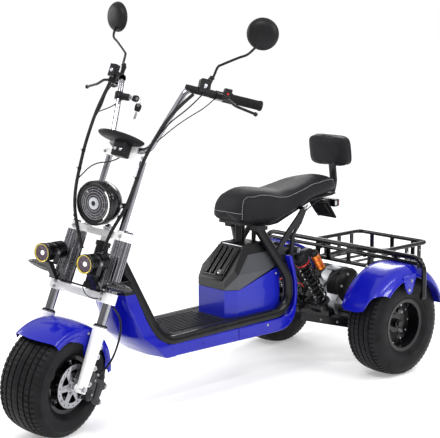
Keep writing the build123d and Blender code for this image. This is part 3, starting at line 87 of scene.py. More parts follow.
def mat(name, col, rough=0.5, metal=0.0, coat=0.0, var=0.12, scale=18.0, kind="peel", bump=0.05, bscale=400.0,
        rvar=0.08, edge_wear_and_highlight=0.0, edge_wear_and_highlight_col=None, sheen=0.0, spec=0.5, emit=None, strength=0.0, trans=0.0, ior=1.45, coat_rough=0.04):
    m, t, b = nodes_of(name)
    N, Lk = t.nodes, t.links
    tc = N.new("ShaderNodeTexCoord")
    src = tc.outputs["Object"]
    no = N.new("ShaderNodeTexNoise"); no.inputs["Scale"].default_value = scale; no.inputs["Detail"].default_value = 5
    Lk.new(src, no.inputs["Vector"])
    cr = N.new("ShaderNodeValToRGB")
    lo = [max(0, c * (1 - var)) for c in col]; hi = [min(1, c * (1 + var) + var * 0.01) for c in col]
    cr.color_ramp.elements[0].position, cr.color_ramp.elements[0].color = 0.3, (*lo, 1)
    cr.color_ramp.elements[1].position, cr.color_ramp.elements[1].color = 0.7, (*hi, 1)
    Lk.new(no.outputs["Fac"], cr.inputs["Fac"])
    colour = cr.outputs["Color"]
    # Convex edges, found by pointiness, are mixed toward a lighter colour: partly edge wear, partly a painted edge
    # highlight.
    if edge_wear_and_highlight > 0:
        ge = N.new("ShaderNodeNewGeometry")
        wr = N.new("ShaderNodeValToRGB")
        wr.color_ramp.elements[0].position, wr.color_ramp.elements[0].color = 0.52, (0, 0, 0, 1)
        wr.color_ramp.elements[1].position, wr.color_ramp.elements[1].color = 0.62, (edge_wear_and_highlight, edge_wear_and_highlight, edge_wear_and_highlight, 1)
        Lk.new(ge.outputs["Pointiness"], wr.inputs["Fac"])
        mx = N.new("ShaderNodeMix"); mx.data_type = "RGBA"
        mx.inputs["B"].default_value = (*(edge_wear_and_highlight_col or [min(1, c * 2 + 0.08) for c in col]), 1)
        Lk.new(wr.outputs["Color"], mx.inputs["Factor"])
        Lk.new(colour, mx.inputs["A"])
        colour = mx.outputs["Result"]
    Lk.new(colour, b.inputs["Base Color"])
    n2 = N.new("ShaderNodeTexNoise"); n2.inputs["Scale"].default_value = scale * 2.3; n2.inputs["Detail"].default_value = 4
    Lk.new(src, n2.inputs["Vector"])
    mr = N.new("ShaderNodeMapRange")
    mr.inputs["To Min"].default_value = max(0.02, rough - rvar); mr.inputs["To Max"].default_value = min(1, rough + rvar)
    Lk.new(n2.outputs["Fac"], mr.inputs["Value"]); Lk.new(mr.outputs["Result"], b.inputs["Roughness"])
    b.inputs["Metallic"].default_value = metal
    b.inputs["Specular IOR Level"].default_value = spec
    b.inputs["Coat Weight"].default_value = coat
    b.inputs["Coat Roughness"].default_value = coat_rough
    b.inputs["Sheen Weight"].default_value = sheen
    b.inputs["Sheen Roughness"].default_value = 0.4
    b.inputs["IOR"].default_value = ior
    b.inputs["Transmission Weight"].default_value = trans
    if emit:
        b.inputs["Emission Color"].default_value = (*emit, 1)
        b.inputs["Emission Strength"].default_value = strength
    if bump > 0:
        bp = N.new("ShaderNodeBump"); bp.inputs["Strength"].default_value = bump; bp.inputs["Distance"].default_value = 0.001
        if kind == "leather":
            vo = N.new("ShaderNodeTexVoronoi"); vo.feature = "DISTANCE_TO_EDGE"; vo.inputs["Scale"].default_value = bscale
            wn = N.new("ShaderNodeTexNoise"); wn.inputs["Scale"].default_value = bscale * 0.4
            Lk.new(src, wn.inputs["Vector"])
            ad = N.new("ShaderNodeVectorMath"); ad.operation = "MULTIPLY_ADD"
            ad.inputs[1].default_value = (0.004, 0.004, 0.004)
            Lk.new(wn.outputs["Color"], ad.inputs[0]); Lk.new(src, ad.inputs[2])
            Lk.new(ad.outputs[0], vo.inputs["Vector"])
            r2 = N.new("ShaderNodeMapRange"); r2.inputs["From Max"].default_value = 0.25
            Lk.new(vo.outputs["Distance"], r2.inputs["Value"])
            Lk.new(r2.outputs["Result"], bp.inputs["Height"])
        elif kind == "braid":
            w1 = N.new("ShaderNodeTexWave"); w1.wave_type = "BANDS"; w1.bands_direction = "DIAGONAL"; w1.inputs["Scale"].default_value = bscale
            w2 = N.new("ShaderNodeTexWave"); w2.wave_type = "BANDS"; w2.bands_direction = "Z"; w2.inputs["Scale"].default_value = bscale * 1.1
            Lk.new(src, w1.inputs["Vector"]); Lk.new(src, w2.inputs["Vector"])
            mu = N.new("ShaderNodeMath"); mu.operation = "MULTIPLY"
            Lk.new(w1.outputs["Fac"], mu.inputs[0]); Lk.new(w2.outputs["Fac"], mu.inputs[1])
            Lk.new(mu.outputs[0], bp.inputs["Height"])
            fl = N.new("ShaderNodeTexVoronoi"); fl.inputs["Scale"].default_value = 260
            Lk.new(src, fl.inputs["Vector"])
            fr = N.new("ShaderNodeValToRGB")
            fr.color_ramp.elements[0].position, fr.color_ramp.elements[0].color = 0.12, (0.12, 0.12, 0.12, 1)
            fr.color_ramp.elements[1].position, fr.color_ramp.elements[1].color = 0.2, (*col, 1)
            Lk.new(fl.outputs["Distance"], fr.inputs["Fac"])
            Lk.new(fr.outputs["Color"], b.inputs["Base Color"])
        elif kind == "brushed":
            mp = N.new("ShaderNodeMapping"); mp.inputs["Scale"].default_value = (1, 1, 18)
            Lk.new(src, mp.inputs["Vector"])
            bn = N.new("ShaderNodeTexNoise"); bn.inputs["Scale"].default_value = bscale
            Lk.new(mp.outputs["Vector"], bn.inputs["Vector"]); Lk.new(bn.outputs["Fac"], bp.inputs["Height"])
        elif kind == "honey":
            vo = N.new("ShaderNodeTexVoronoi"); vo.feature = "DISTANCE_TO_EDGE"; vo.inputs["Scale"].default_value = bscale
            vo.inputs["Randomness"].default_value = 0.12
            Lk.new(src, vo.inputs["Vector"])
            r2 = N.new("ShaderNodeMapRange"); r2.inputs["From Max"].default_value = 0.12
            Lk.new(vo.outputs["Distance"], r2.inputs["Value"]); Lk.new(r2.outputs["Result"], bp.inputs["Height"])
        else:
            bn = N.new("ShaderNodeTexNoise"); bn.inputs["Scale"].default_value = bscale; bn.inputs["Detail"].default_value = 6
            Lk.new(src, bn.inputs["Vector"]); Lk.new(bn.outputs["Fac"], bp.inputs["Height"])
        Lk.new(bp.outputs["Normal"], b.inputs["Normal"])
    return m


M = {}
# The lighter edge colours given here are partly edge wear and partly painted edge highlight.
M["black"] = mat("powder_black", (0.004, 0.004, 0.005), rough=0.26, coat=0.16, var=0.25, bump=0.06, bscale=700, edge_wear_and_highlight=0.25, edge_wear_and_highlight_col=(0.03, 0.03, 0.033), coat_rough=0.12, spec=0.22)
M["gloss_black"] = mat("gloss_black", (0.003, 0.003, 0.004), rough=0.18, coat=0.28, var=0.2, bump=0.02, bscale=300, spec=0.24, coat_rough=0.08)
M["blue"] = mat("blue_gloss", (0.003, 0.005, 0.34), rough=0.24, coat=0.32, var=0.1, scale=6, bump=0.02, bscale=260, edge_wear_and_highlight=0.2, edge_wear_and_highlight_col=(0.03, 0.05, 0.5), spec=0.28)
M["white"] = mat("white_paint", (0.92, 0.92, 0.92), rough=0.3, coat=0.5, var=0.04, bump=0.05, bscale=420, edge_wear_and_highlight=0.3, edge_wear_and_highlight_col=(0.97, 0.97, 0.97))
M["chrome"] = mat("chrome_plate", (0.33, 0.33, 0.355), rough=0.1, metal=1.0, var=0.12, scale=30, rvar=0.05, bump=0.015, bscale=200)
M["steel"] = mat("zinc_steel", (0.5, 0.5, 0.52), rough=0.32, metal=1.0, var=0.15, bump=0.05, bscale=500, kind="brushed")
M["disc"] = mat("disc_steel", (0.36, 0.36, 0.38), rough=0.26, metal=1.0, var=0.2, scale=60, bump=0.1, bscale=300, kind="brushed")
M["alu"] = mat("cast_aluminium", (0.46, 0.47, 0.49), rough=0.42, metal=1.0, var=0.18, bump=0.25, bscale=260)
M["plastic"] = mat("moulded_black", (0.009, 0.009, 0.01), rough=0.42, var=0.2, bump=0.14, bscale=900, edge_wear_and_highlight=0.25, edge_wear_and_highlight_col=(0.03, 0.03, 0.033), spec=0.2)
M["deck"] = mat("deck_plastic", (0.008, 0.0085, 0.012), rough=0.42, var=0.2, bump=0.14, bscale=900, edge_wear_and_highlight=0.5, edge_wear_and_highlight_col=(0.05, 0.05, 0.06), spec=0.2)
M["grey"] = mat("dark_grey_panel", (0.055, 0.057, 0.064), rough=0.34, coat=0.3, var=0.1, scale=9, bump=0.06, bscale=600, coat_rough=0.18, spec=0.35)
M["rubber"] = mat("soft_rubber", (0.008, 0.008, 0.009), rough=0.66, var=0.2, bump=0.25, bscale=600, spec=0.2)
M["tyre"] = mat("tyre_rubber", (0.006, 0.006, 0.007), rough=0.5, var=0.3, scale=26, bump=0.22, bscale=420, spec=0.14, edge_wear_and_highlight=0.5, edge_wear_and_highlight_col=(0.035, 0.035, 0.036))
M["vinyl"] = mat("dark_vinyl", (0.012, 0.012, 0.014), rough=0.46, var=0.14, scale=12, kind="leather", bump=0.3, bscale=420, sheen=0.01, rvar=0.06, spec=0.13)
M["thread"] = mat("pale_thread", (0.6, 0.59, 0.57), rough=0.8, var=0.12, scale=300, bump=0.4, bscale=1500)
M["braid"] = mat("braided_sleeve", (0.008, 0.008, 0.009), rough=0.52, var=0.2, kind="braid", bump=0.6, bscale=90, spec=0.25)
M["cable"] = mat("cable_jacket", (0.006, 0.006, 0.007), rough=0.4, var=0.25, bump=0.1, bscale=500, spec=0.3)
M["redwire"] = mat("red_jacket", (0.6, 0.012, 0.012), rough=0.42, var=0.15, bump=0.1, bscale=500)
M["red"] = mat("red_anodised", (0.62, 0.03, 0.02), rough=0.28, metal=0.6, coat=0.5, var=0.12, bump=0.03)
M["orange"] = mat("orange_anodised", (0.95, 0.24, 0.012), rough=0.24, metal=0.7, coat=0.6, var=0.12, bump=0.03)
M["gold"] = mat("gold_ring", (0.85, 0.68, 0.09), rough=0.3, metal=0.8, coat=0.4, var=0.12, bump=0.03)
M["amber"] = mat("amber_reflector", (0.9, 0.3, 0.03), rough=0.2, coat=0.9, var=0.15, kind="honey", bump=0.6, bscale=260)
M["smoke"] = mat("smoked_lens", (0.02, 0.017, 0.019), rough=0.16, coat=0.8, var=0.4, scale=70, kind="honey", bump=0.8, bscale=190, spec=0.5)
M["darklens"] = mat("dark_lamp_lens", (0.012, 0.009, 0.016), rough=0.16, coat=0.25, var=0.35, scale=50, kind="honey", bump=0.25, bscale=120, spec=0.5)
M["lens"] = mat("clear_lens", (0.5, 0.52, 0.56), rough=0.1, coat=1.0, var=0.2, scale=50, kind="honey", bump=0.35, bscale=150, spec=0.8)
M["pinklens"] = mat("warm_dark_lens", (0.05, 0.022, 0.05), rough=0.12, coat=0.4, var=0.3, scale=60, kind="honey", bump=0.4, bscale=170, spec=0.7)
# Painted highlight: a pale finish that glows to stand in for reflections on the lamp fronts.
M["led"] = mat("led_white", (0.9, 0.9, 0.88), rough=0.2, var=0.06, scale=90, bump=0.05, emit=(1, 1, 0.97), strength=0.25)
M["redlens"] = mat("dark_red_lens", (0.09, 0.006, 0.008), rough=0.14, coat=1.0, var=0.3, scale=60, kind="honey", bump=0.5, bscale=170)
M["glass"] = mat("mirror_glass", (0.62, 0.64, 0.68), rough=0.04, metal=1.0, var=0.06, bump=0.01, rvar=0.02)
M["screen"] = mat("display_glass", (0.012, 0.014, 0.02), rough=0.08, coat=1.0, var=0.3, bump=0.01)
M["battery"] = mat("battery_case", (0.05, 0.053, 0.06), rough=0.5, var=0.15, bump=0.1)


def two_tone(name, ob, base, dark, p0, p1, yc, wide):
    """A copy of a finish that is dark ahead of the line p0-p1 in the side view, and within a band across the middle."""
    m = base.copy()
    m.name = name
    t = m.node_tree
    b = t.nodes["Principled BSDF"]
    inv = ob.matrix_world.inverted()
    a, c = inv @ p0, inv @ p1
    d = (c - a).normalized()
    n = (inv.to_3x3() @ Y).cross(d).normalized()
    if n.dot(inv.to_3x3() @ X) < 0:
        n = -n
    yy = (inv.to_3x3() @ Y).normalized()
    tc = t.nodes.new("ShaderNodeTexCoord")

    def dot(v, off, op, lim):
        q = t.nodes.new("ShaderNodeVectorMath"); q.operation = "DOT_PRODUCT"
        q.inputs[1].default_value = tuple(v)
        t.links.new(tc.outputs["Object"], q.inputs[0])
        s = t.nodes.new("ShaderNodeMath"); s.operation = "SUBTRACT"; s.inputs[1].default_value = off
        t.links.new(q.outputs["Value"], s.inputs[0])
        if op == "LESS_THAN":
            ab = t.nodes.new("ShaderNodeMath"); ab.operation = "ABSOLUTE"
            t.links.new(s.outputs[0], ab.inputs[0])
            s = ab
        g = t.nodes.new("ShaderNodeMath"); g.operation = op; g.inputs[1].default_value = lim
        t.links.new(s.outputs[0], g.inputs[0])
        return g
    g1 = dot(n, n.dot(a), "GREATER_THAN", 0.0)
    g2 = dot(yy, yy.dot(inv @ (p0 * 1.0 - Y * p0.y + Y * yc)), "LESS_THAN", wide)
    mx = t.nodes.new("ShaderNodeMath"); mx.operation = "MAXIMUM"
    t.links.new(g1.outputs[0], mx.inputs[0]); t.links.new(g2.outputs[0], mx.inputs[1])
    mi = t.nodes.new("ShaderNodeMix"); mi.data_type = "RGBA"
    old = b.inputs["Base Color"].links[0].from_socket
    t.links.new(mx.outputs[0], mi.inputs["Factor"])
    t.links.new(old, mi.inputs["A"])
    mi.inputs["B"].default_value = (*dark, 1)
    t.links.new(mi.outputs["Result"], b.inputs["Base Color"])
    return m


# ------------------------------------------------------------------ mesh pieces
def cr(pts, n=6, closed=False):
    """Smooth points through a list of tuples (Catmull-Rom), n for each run."""
    P = [Vector(p) for p in pts]
    m = len(P)
    out = []
    for i in range(m if closed else m - 1):
        if closed:
            a, b, c, d = P[(i - 1) % m], P[i], P[(i + 1) % m], P[(i + 2) % m]
        else:
            b, c = P[i], P[i + 1]
            a = P[i - 1] if i else b * 2 - c
            d = P[i + 2] if i + 2 < m else c * 2 - b
        for k in range(n):
            t = k / n
            out.append(0.5 * ((2 * b) + (c - a) * t + (2 * a - 5 * b + 4 * c - d) * t * t + (3 * b - a - 3 * c + d) * t ** 3))
    if not closed:
        out.append(P[-1])
    return out


class Piece:
    def __init__(s, name):
        s.name, s.bm, s.mats = name, bmesh.new(), []

    def mi(s, m):
        if m not in s.mats:
            s.mats.append(m)
        return s.mats.index(m)

    def absorb(s, tmp, m, smooth=True):
        bmesh.ops.recalc_face_normals(tmp, faces=tmp.faces)
        i = s.mi(m)
        mp = {v: s.bm.verts.new(v.co) for v in tmp.verts}
        for f in tmp.faces:
            g = s.bm.faces.new([mp[v] for v in f.verts])
            g.material_index = i
            g.smooth = smooth
        tmp.free()

    def grid(s, rows, m, cu=False, cv=False, smooth=True, caps=False):
        t = bmesh.new()
        V = [[t.verts.new(p) for p in r] for r in rows]
        nr, nc = len(V), len(V[0])
        for i in range(nr if cu else nr - 1):
            for j in range(nc if cv else nc - 1):
                a, b, c, d = V[i][j], V[(i + 1) % nr][j], V[(i + 1) % nr][(j + 1) % nc], V[i][(j + 1) % nc]
                t.faces.new((a, b, c, d))
        if caps:
            t.faces.new(V[0]); t.faces.new(list(reversed(V[-1])))
        bmesh.ops.remove_doubles(t, verts=t.verts, dist=1e-6)
        s.absorb(t, m, smooth)

    def lathe(s, K, prof, m, n=48, a0=0.0, a1=360.0, closed=False, smooth=True):
        full = abs(a1 - a0) >= 359.99
        rows = []
        for i in range(n if full else n + 1):
            a = math.radians(a0 + (a1 - a0) * i / n)
            rows.append([K(r * math.cos(a), r * math.sin(a), h) for r, h in prof])
        s.grid(rows, m, cu=full, cv=closed, smooth=smooth)

    def tube(s, pts, r, m, n=10, closed=False, caps=True):
        """A round tube (r in mm, a number or a list) along world points."""
        P = [Vector(p) for p in pts]
        k = len(P)
        R = r if isinstance(r, (list, tuple)) else [r] * k
        T = [((P[(i + 1) % k] if closed else P[min(i + 1, k - 1)]) - (P[i - 1] if closed else P[max(i - 1, 0)])).normalized() for i in range(k)]
        h = Vector((0, 0, 1)) if abs(T[0].z) < 0.9 else Vector((1, 0, 0))
        x = (h - T[0] * h.dot(T[0])).normalized()
        rows = []
        for i in range(k):
            x = (x - T[i] * x.dot(T[i])).normalized()
            y = T[i].cross(x)
            rows.append([P[i] + (x * math.cos(2 * math.pi * j / n) + y * math.sin(2 * math.pi * j / n)) * (R[i] / 1000) for j in range(n)])
        s.grid(rows, m, cu=closed, cv=True, caps=caps and not closed)

    def prism(s, K, pts, h0, h1, m, bevel=0.0, seg=2, smooth=True):
        t = bmesh.new()
        f = t.faces.new([t.verts.new(K(a, b, h0)) for a, b in pts])
        r = bmesh.ops.extrude_face_region(t, geom=[f])
        mv = K(0, 0, h1) - K(0, 0, h0)
        bmesh.ops.translate(t, verts=[v for v in r["geom"] if isinstance(v, bmesh.types.BMVert)], vec=mv)
        if bevel > 0:
            bmesh.ops.bevel(t, geom=list(t.edges), offset=bevel / 1000, segments=seg, affect="EDGES", profile=0.6, clamp_overlap=True)
        s.absorb(t, m, smooth)

    def block(s, K, c, size, m, bevel=2.0):
        a, b, h = size[0] / 2, size[1] / 2, size[2] / 2
        k = Frame3(K(*c), K.x, K.y, K.z)
        s.prism(k, [(-a, -b), (a, -b), (a, b), (-a, b)], -h, h, m, bevel)

    def bolt(s, p, d, r=6.0, m=None, h=None, washer=True):
        k = aim(p, d)
        m = m or M["steel"]
        h = h or r * 0.8
        if washer:
            s.lathe(k, [(0, 0), (r * 1.25, 0), (r * 1.25, h * 0.22), (r, h * 0.25)], m, n=20)
        hexa = [(r * math.cos(math.radians(60 * i)), r * math.sin(math.radians(60 * i))) for i in range(6)]
        s.prism(k, hexa, 0, h, m, r * 0.12)
        s.lathe(k, [(0, h + r * 0.35), (r * 0.42, h + r * 0.35), (r * 0.5, h + r * 0.2), (r * 0.5, 0)], m, n=14)

    def screw(s, p, d, r=4.0, m=None):
        """A button head with a socket."""
        k = aim(p, d)
        m = m or M["steel"]
        s.lathe(k, [(r, -0.5), (r, r * 0.25), (r * 0.8, r * 0.5), (r * 0.42, r * 0.6), (r * 0.42, r * 0.1), (0, r * 0.1)], m, n=20)

    def plate(s, K, outer, holes, h0, h1, m, bevel=0.3):
        """A flat plate with holes through it; outlines in mm."""
        cu = bpy.data.curves.new("plate_outline", "CURVE")
        cu.dimensions = "2D"
        cu.fill_mode = "BOTH"
        cu.bevel_depth = bevel / 1000
        cu.bevel_resolution = 1
        cu.extrude = (h1 - h0) / 2000 - bevel / 1000
        for pts in [outer] + holes:
            sp = cu.splines.new("POLY")
            sp.points.add(len(pts) - 1)
            for q, (a, b) in zip(sp.points, pts):
                q.co = (a / 1000, b / 1000, 0, 1)
            sp.use_cyclic_u = True
        ob = bpy.data.objects.new("plate_outline", cu)
        sc.collection.objects.link(ob)
        dg = bpy.context.evaluated_depsgraph_get()
        me = bpy.data.meshes.new_from_object(ob.evaluated_get(dg))
        bpy.data.objects.remove(ob)
        bpy.data.curves.remove(cu)
        t = bmesh.new()
        t.from_mesh(me)
        bpy.data.meshes.remove(me)
        mid = (h0 + h1) / 2
        for v in t.verts:
            v.co = K(v.co.x * 1000, v.co.y * 1000, mid + v.co.z * 1000)
        bmesh.ops.remove_doubles(t, verts=t.verts, dist=1e-6)
        s.absorb(t, m)

    def shell(s, rows, t, inside, m):
        nr, nc = len(rows), len(rows[0])
        inner = []
        for i in range(nr):
            line = []
            for j in range(nc):
                du = rows[min(i + 1, nr - 1)][j] - rows[max(i - 1, 0)][j]
                dv = rows[i][min(j + 1, nc - 1)] - rows[i][max(j - 1, 0)]
                n = du.cross(dv)
                n = n.normalized() if n.length > 1e-14 else Vector((0, 0, 1))
                if n.dot(inside(rows[i][j]) - rows[i][j]) < 0:
                    n = -n
                line.append(rows[i][j] + n * (t / 1000))
            inner.append(line)
        tmp = bmesh.new()
        A = [[tmp.verts.new(p) for p in r] for r in rows]
        B = [[tmp.verts.new(p) for p in r] for r in inner]
        for i in range(nr - 1):
            for j in range(nc - 1):
                tmp.faces.new((A[i][j], A[i + 1][j], A[i + 1][j + 1], A[i][j + 1]))
                tmp.faces.new((B[i][j + 1], B[i + 1][j + 1], B[i + 1][j], B[i][j]))
        for i in range(nr - 1):
            tmp.faces.new((A[i + 1][0], A[i][0], B[i][0], B[i + 1][0]))
            tmp.faces.new((A[i][-1], A[i + 1][-1], B[i + 1][-1], B[i][-1]))
        for j in range(nc - 1):
            tmp.faces.new((A[0][j], A[0][j + 1], B[0][j + 1], B[0][j]))
            tmp.faces.new((A[-1][j + 1], A[-1][j], B[-1][j], B[-1][j + 1]))
        s.absorb(tmp, m)

    def done(s, body, reps=(), sharp=38, subsurf=0):
        me = bpy.data.meshes.new(s.name)
        s.bm.to_mesh(me)
        s.bm.free()
        for m in s.mats:
            me.materials.append(m)
        if sharp:
            me.set_sharp_from_angle(angle=math.radians(sharp))
        ob = bpy.data.objects.new(s.name, me)
        sc.collection.objects.link(ob)
        if subsurf:
            md = ob.modifiers.new("smooth", "SUBSURF"); md.levels = md.render_levels = subsurf
        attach(ob, body)
        if reps:
            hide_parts(*reps)
        return ob


def wire(name, pts, r, m, body, reps=()):
    """A cable held at both ends: a smooth curve with a round section."""
    cu = bpy.data.curves.new(name, "CURVE")
    cu.dimensions = "3D"
    cu.bevel_depth = r / 1000
    cu.bevel_resolution = 4
    cu.use_fill_caps = True
    sp = cu.splines.new("NURBS")
    sp.points.add(len(pts) - 1)
    for q, p in zip(sp.points, pts):
        q.co = (*p, 1)
    sp.order_u = 3
    sp.use_endpoint_u = True
    sp.resolution_u = 10
    ob = bpy.data.objects.new(name, cu)
    sc.collection.objects.link(ob)
    cu.materials.append(m)
    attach(ob, body)
    if reps:
        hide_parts(*reps)
    return ob


# ------------------------------------------------------------------ wheels
def tyre(name, node, body, K, R, W, rim_r, rim_w, grooves, lugs, deep=5.0, crown=6.0, side_deep=4.0):
    """A tyre with its tread cut in the mesh. K.z is the axle. grooves are places across the tread, lugs the blocks round it."""
    h = W / 2
    th = h - 14
    ys, top = [], []
    edges = []
    for g, gw in grooves:
        edges += [(g - gw / 2 - 0.6, 0), (g - gw / 2, 1), (g + gw / 2, 1), (g + gw / 2 + 0.6, 0)]
    marks = sorted([(-th, 0), (th, 0)] + edges + [(y, 0) for y in range(-int(th) + 6, int(th) - 2, 9) if all(abs(y - g) > gw / 2 + 3 for g, gw in grooves)])
    side = [(rim_r - 4, rim_w / 2 - 8), (rim_r, rim_w / 2), (rim_r + 8, rim_w / 2 + 5), (rim_r + 11, rim_w / 2 + 5), (rim_r + 14, rim_w / 2 + 9),
            (rim_r + 26, h - 4), (rim_r + 29, h - 3.6), (rim_r + 31, h - 2), (rim_r + 50, h), (rim_r + 66, h - 1.2), (R - 30, h - 3.4), (R - 28, h - 4.6), (R - 20, h - 8)]
    n = lugs * 4
    rows = []
    for i in range(n):
        a = 2 * math.pi * i / n
        ca, sa = math.cos(a), math.sin(a)
        line = [K(r * ca, r * sa, -y) for r, y in side]
        for y, low in marks:
            t = abs(y) / h
            r = R - crown * t ** 2 - 10 * t ** 6
            if low:
                r -= deep
            elif abs(y) > th * 0.62 and i % 4 == 0:
                r -= side_deep
            elif abs(y) <= th * 0.62 and (i + 2) % 4 == 0 and abs(y) > th * 0.1:
                r -= side_deep * 0.45
            line.append(K(r * ca, r * sa, y))
        line += [K(r * ca, r * sa, y) for r, y in reversed(side)]
        rows.append(line)
    p = Piece(name)
    p.grid(rows, M["tyre"], cu=True)
    return p.done(body, (node,), sharp=30)


def front_tread():
    return [(-60, 5), (-38, 6), (-14, 5), (14, 5), (38, 6), (60, 5)]


KF = Frame3(O, SS, US, SS.cross(US))            # z runs to the left along the front axle
tyre("front_tyre_tread", "front_tyre", "front_wheel", KF, 191.3, 178, 93, 124, front_tread(), 56, deep=4.5, crown=9, side_deep=3.4)
for nm, sg in (("left", 1), ("right", -1)):
    K = Frame3(C(-1396, sg * 332.5, 204), Z, X, Y)
    tyre(f"rear_tyre_tread_{nm}", f"rear_tyre_{nm}", f"rear_wheel_{nm}", K, 203.8, 154, 97, 116,
         [(-46, 5), (-24, 4), (0, 5), (24, 4), (46, 5)], 64, deep=5, crown=7, side_deep=4)
    # wheel nuts, cap, rim bolts and valve
    p = Piece(f"rear_wheel_fittings_{nm}")
    Ko = Frame3(C(-1396, sg * 332.5, 204), Z, X * sg, Y * sg)       # z runs outward
    for k in range(4):
        a = math.radians(45 + 90 * k)
        p.bolt(Ko(56 * math.cos(a), 56 * math.sin(a), 5.5), Ko.z, 8, M["steel"], h=11)
    p.lathe(Ko, [(0, 34), (12, 34), (17, 31), (18, 27), (18, 15), (37, 14.5), (38.5, 12), (38.5, 8)], M["gloss_black"], n=40)
    for k in range(12):
        a = math.radians(30 * k)
        p.screw(Ko(84 * math.cos(a), 84 * math.sin(a), 8.6), Ko.z, 3.6, M["steel"])
    for r, h0 in ((100, 60), (103, 63)):
        p.lathe(Ko, [(r - 1.6, h0 - 1), (r - 1, h0 + 1), (r + 0.8, h0 + 1.2), (r + 1.4, h0 - 1)], M["gloss_black"], n=72)
    p.tube([Ko(72, 0, 9), Ko(76, 0, 22), Ko(78, 0, 36)], 3.2, M["rubber"])
    p.tube([Ko(78, 0, 35), Ko(78.4, 0, 44)], 3.9, M["steel"])
    p.done(f"rear_wheel_{nm}")

# front rim: rim rings, hub and disc bolts, cap and valve
p = Piece("front_wheel_fittings")
for sg in (1, -1):
    for r, h0 in ((96.5, 64.5), (99.5, 67.4)):
        p.lathe(Frame3(O, SS, US * sg, KF.z * sg), [(r - 1.6, h0 - 1), (r - 1, h0 + 1), (r + 0.8, h0 + 1.2), (r + 1.4, h0 - 1)], M["gloss_black"], n=72)
for k in range(6):
    a = math.radians(60 * k)
    p.bolt(KF(24 * math.cos(a), 24 * math.sin(a), 87.4), KF.z, 4.4, M["steel"], h=4)
for k in range(10):
    a = math.radians(36 * k + 10)
    p.bolt(KF(74 * math.cos(a), 74 * math.sin(a), 22.5), KF.z, 5.2, M["steel"], h=5)
    p.bolt(KF(74 * math.cos(a), 74 * math.sin(a), 1.0), -KF.z, 5.2, M["steel"], h=5)
p.lathe(KF, [(17, 88.4), (17, 90.5), (15, 91.5), (9, 91.5)], M["steel"], n=32)
p.tube([KF(70, 12, 22), KF(76, 13, 36), KF(77, 13, 46)], 3.2, M["rubber"])
p.tube([KF(77, 13, 45), KF(77, 13, 54)], 3.9, M["steel"])
p.done("front_wheel")


# ------------------------------------------------------------------ rear fenders
FEND = [(14 + 222 - 8, 252), (236, 256), (239, 266), (242, 282), (242, 305), (242, 340), (242, 372), (240, 390), (234, 404), (224, 416), (212, 425), (204, 430), (199, 432)]
for nm, sg in (("left", 1), ("right", -1)):
    K = Frame3(C(-1396, 0, 204), X, Z, Y * sg)
    sec = cr([(r, y, 0) for r, y in FEND], 4)
    rows = []
    for q in sec:
        r, y = q.x, q.y
        t = max(0.0, (y - 380) / 52)
        u = max(0.0, (285 - y) / 33)
        lo = 19.6 + 6 * u ** 2 + 2.4 * min(1, max(0, (y - 330) / 42)) ** 2 + 12 * min(1, max(0, (y - 372) / 16)) + 11 * min(1, max(0, (y - 388) / 42))
        hi = 167.7 - 9 * t ** 2 - 5 * u ** 2
        rows.append([K(r * math.cos(math.radians(lo + (hi - lo) * i / 56)), r * math.sin(math.radians(lo + (hi - lo) * i / 56)), y) for i in range(57)])
    p = Piece(f"rear_fender_shell_{nm}")
    p.shell(rows, 3.4, lambda q: Vector((C(-1396, 0, 204).x, q.y, C(-1396, 0, 204).z)), M["blue"])
    # rolled edge along the outer lip
    p.tube([r_ + K.z * 0.0 for r_ in rows[-1]], 2.4, M["blue"], n=8)
    # tab for the rack hoop
    tab = [(-22, 214), (58, 206), (44, 160), (30, 139), (18, 133), (4, 139), (-12, 176)]
    p.prism(K, [(a, b) for a, b in tab], 429, 433, M["blue"], 1.2)
    for a, b in ((10, 188), (24, 152)):
        p.bolt(K(a, b, 433), K.z, 5, M["steel"], h=4)
    for a, b in ((70, 150), (104, 60)):
        p.bolt(K(243 * math.cos(math.radians(a)), 243 * math.sin(math.radians(a)), 268), K.d(math.cos(math.radians(a)), math.sin(math.radians(a)), 0), 4.4, M["steel"], h=3.4)
    p.done("chassis", (f"rear_fender_{nm}",), sharp=50)

# ------------------------------------------------------------------ front cover: one curved panel
ST = [(512, -277, -244, 15, 82), (500, -278, -246, 17, 84), (470, -290, -250, 20, 90), (430, -302, -257, 24, 97), (395, -314, -268, 29, 104), (360, -326, -281, 33, 111),
      (328, -341, -294, 37, 118), (300, -357, -309, 39, 126), (280, -378, -328, 39, 133), (262, -402, -347, 36, 139), (248, -415, -362, 32, 141), (230, -426, -378, 27, 142), (216, -434, -392, 22, 142)]
stz = cr([(z, xr, xf) for z, xr, xf, b, w in ST], 3)
stw = cr([(z, b, w) for z, xr, xf, b, w in ST], 3)
rows = []
for q, v in zip(stz, stw):
    z, xr, xf, b, w = q.x, q.y, q.z, v.y, v.z
    line = []
    for k in range(9):
        line.append((xr + (xf - 8 - xr) * k / 8, -w))
    for k in range(1, 30):
        a = math.pi * k / 30
        e = 0.62
        yy = -w * math.copysign(abs(math.cos(a)) ** e, math.cos(a))
        xx = xf - 8 + (b + 8) * abs(math.sin(a)) ** 0.9
        line.append((xx, yy))
    for k in range(9):
        line.append((xf - 8 + (xr - xf + 8) * k / 8, w))
    rows.append([C(x, y, z) for x, y in line])
cad_cover = frame["nodes"]["front_cover"]
cover_tree = BVHTree.FromPolygons([cad_cover.matrix_world @ v.co for v in cad_cover.data.vertices], [tuple(f.vertices) for f in cad_cover.data.polygons])


def no_prouder(q, lift=0.0004):
    """Keep a point from standing outside the CAD cover, which leaves room for the fork to turn."""
    co, no, _, d = cover_tree.find_nearest(q)
    if d > lift and (q - co).dot(no) > 0:
        return co + (q - co).normalized() * lift
    return q


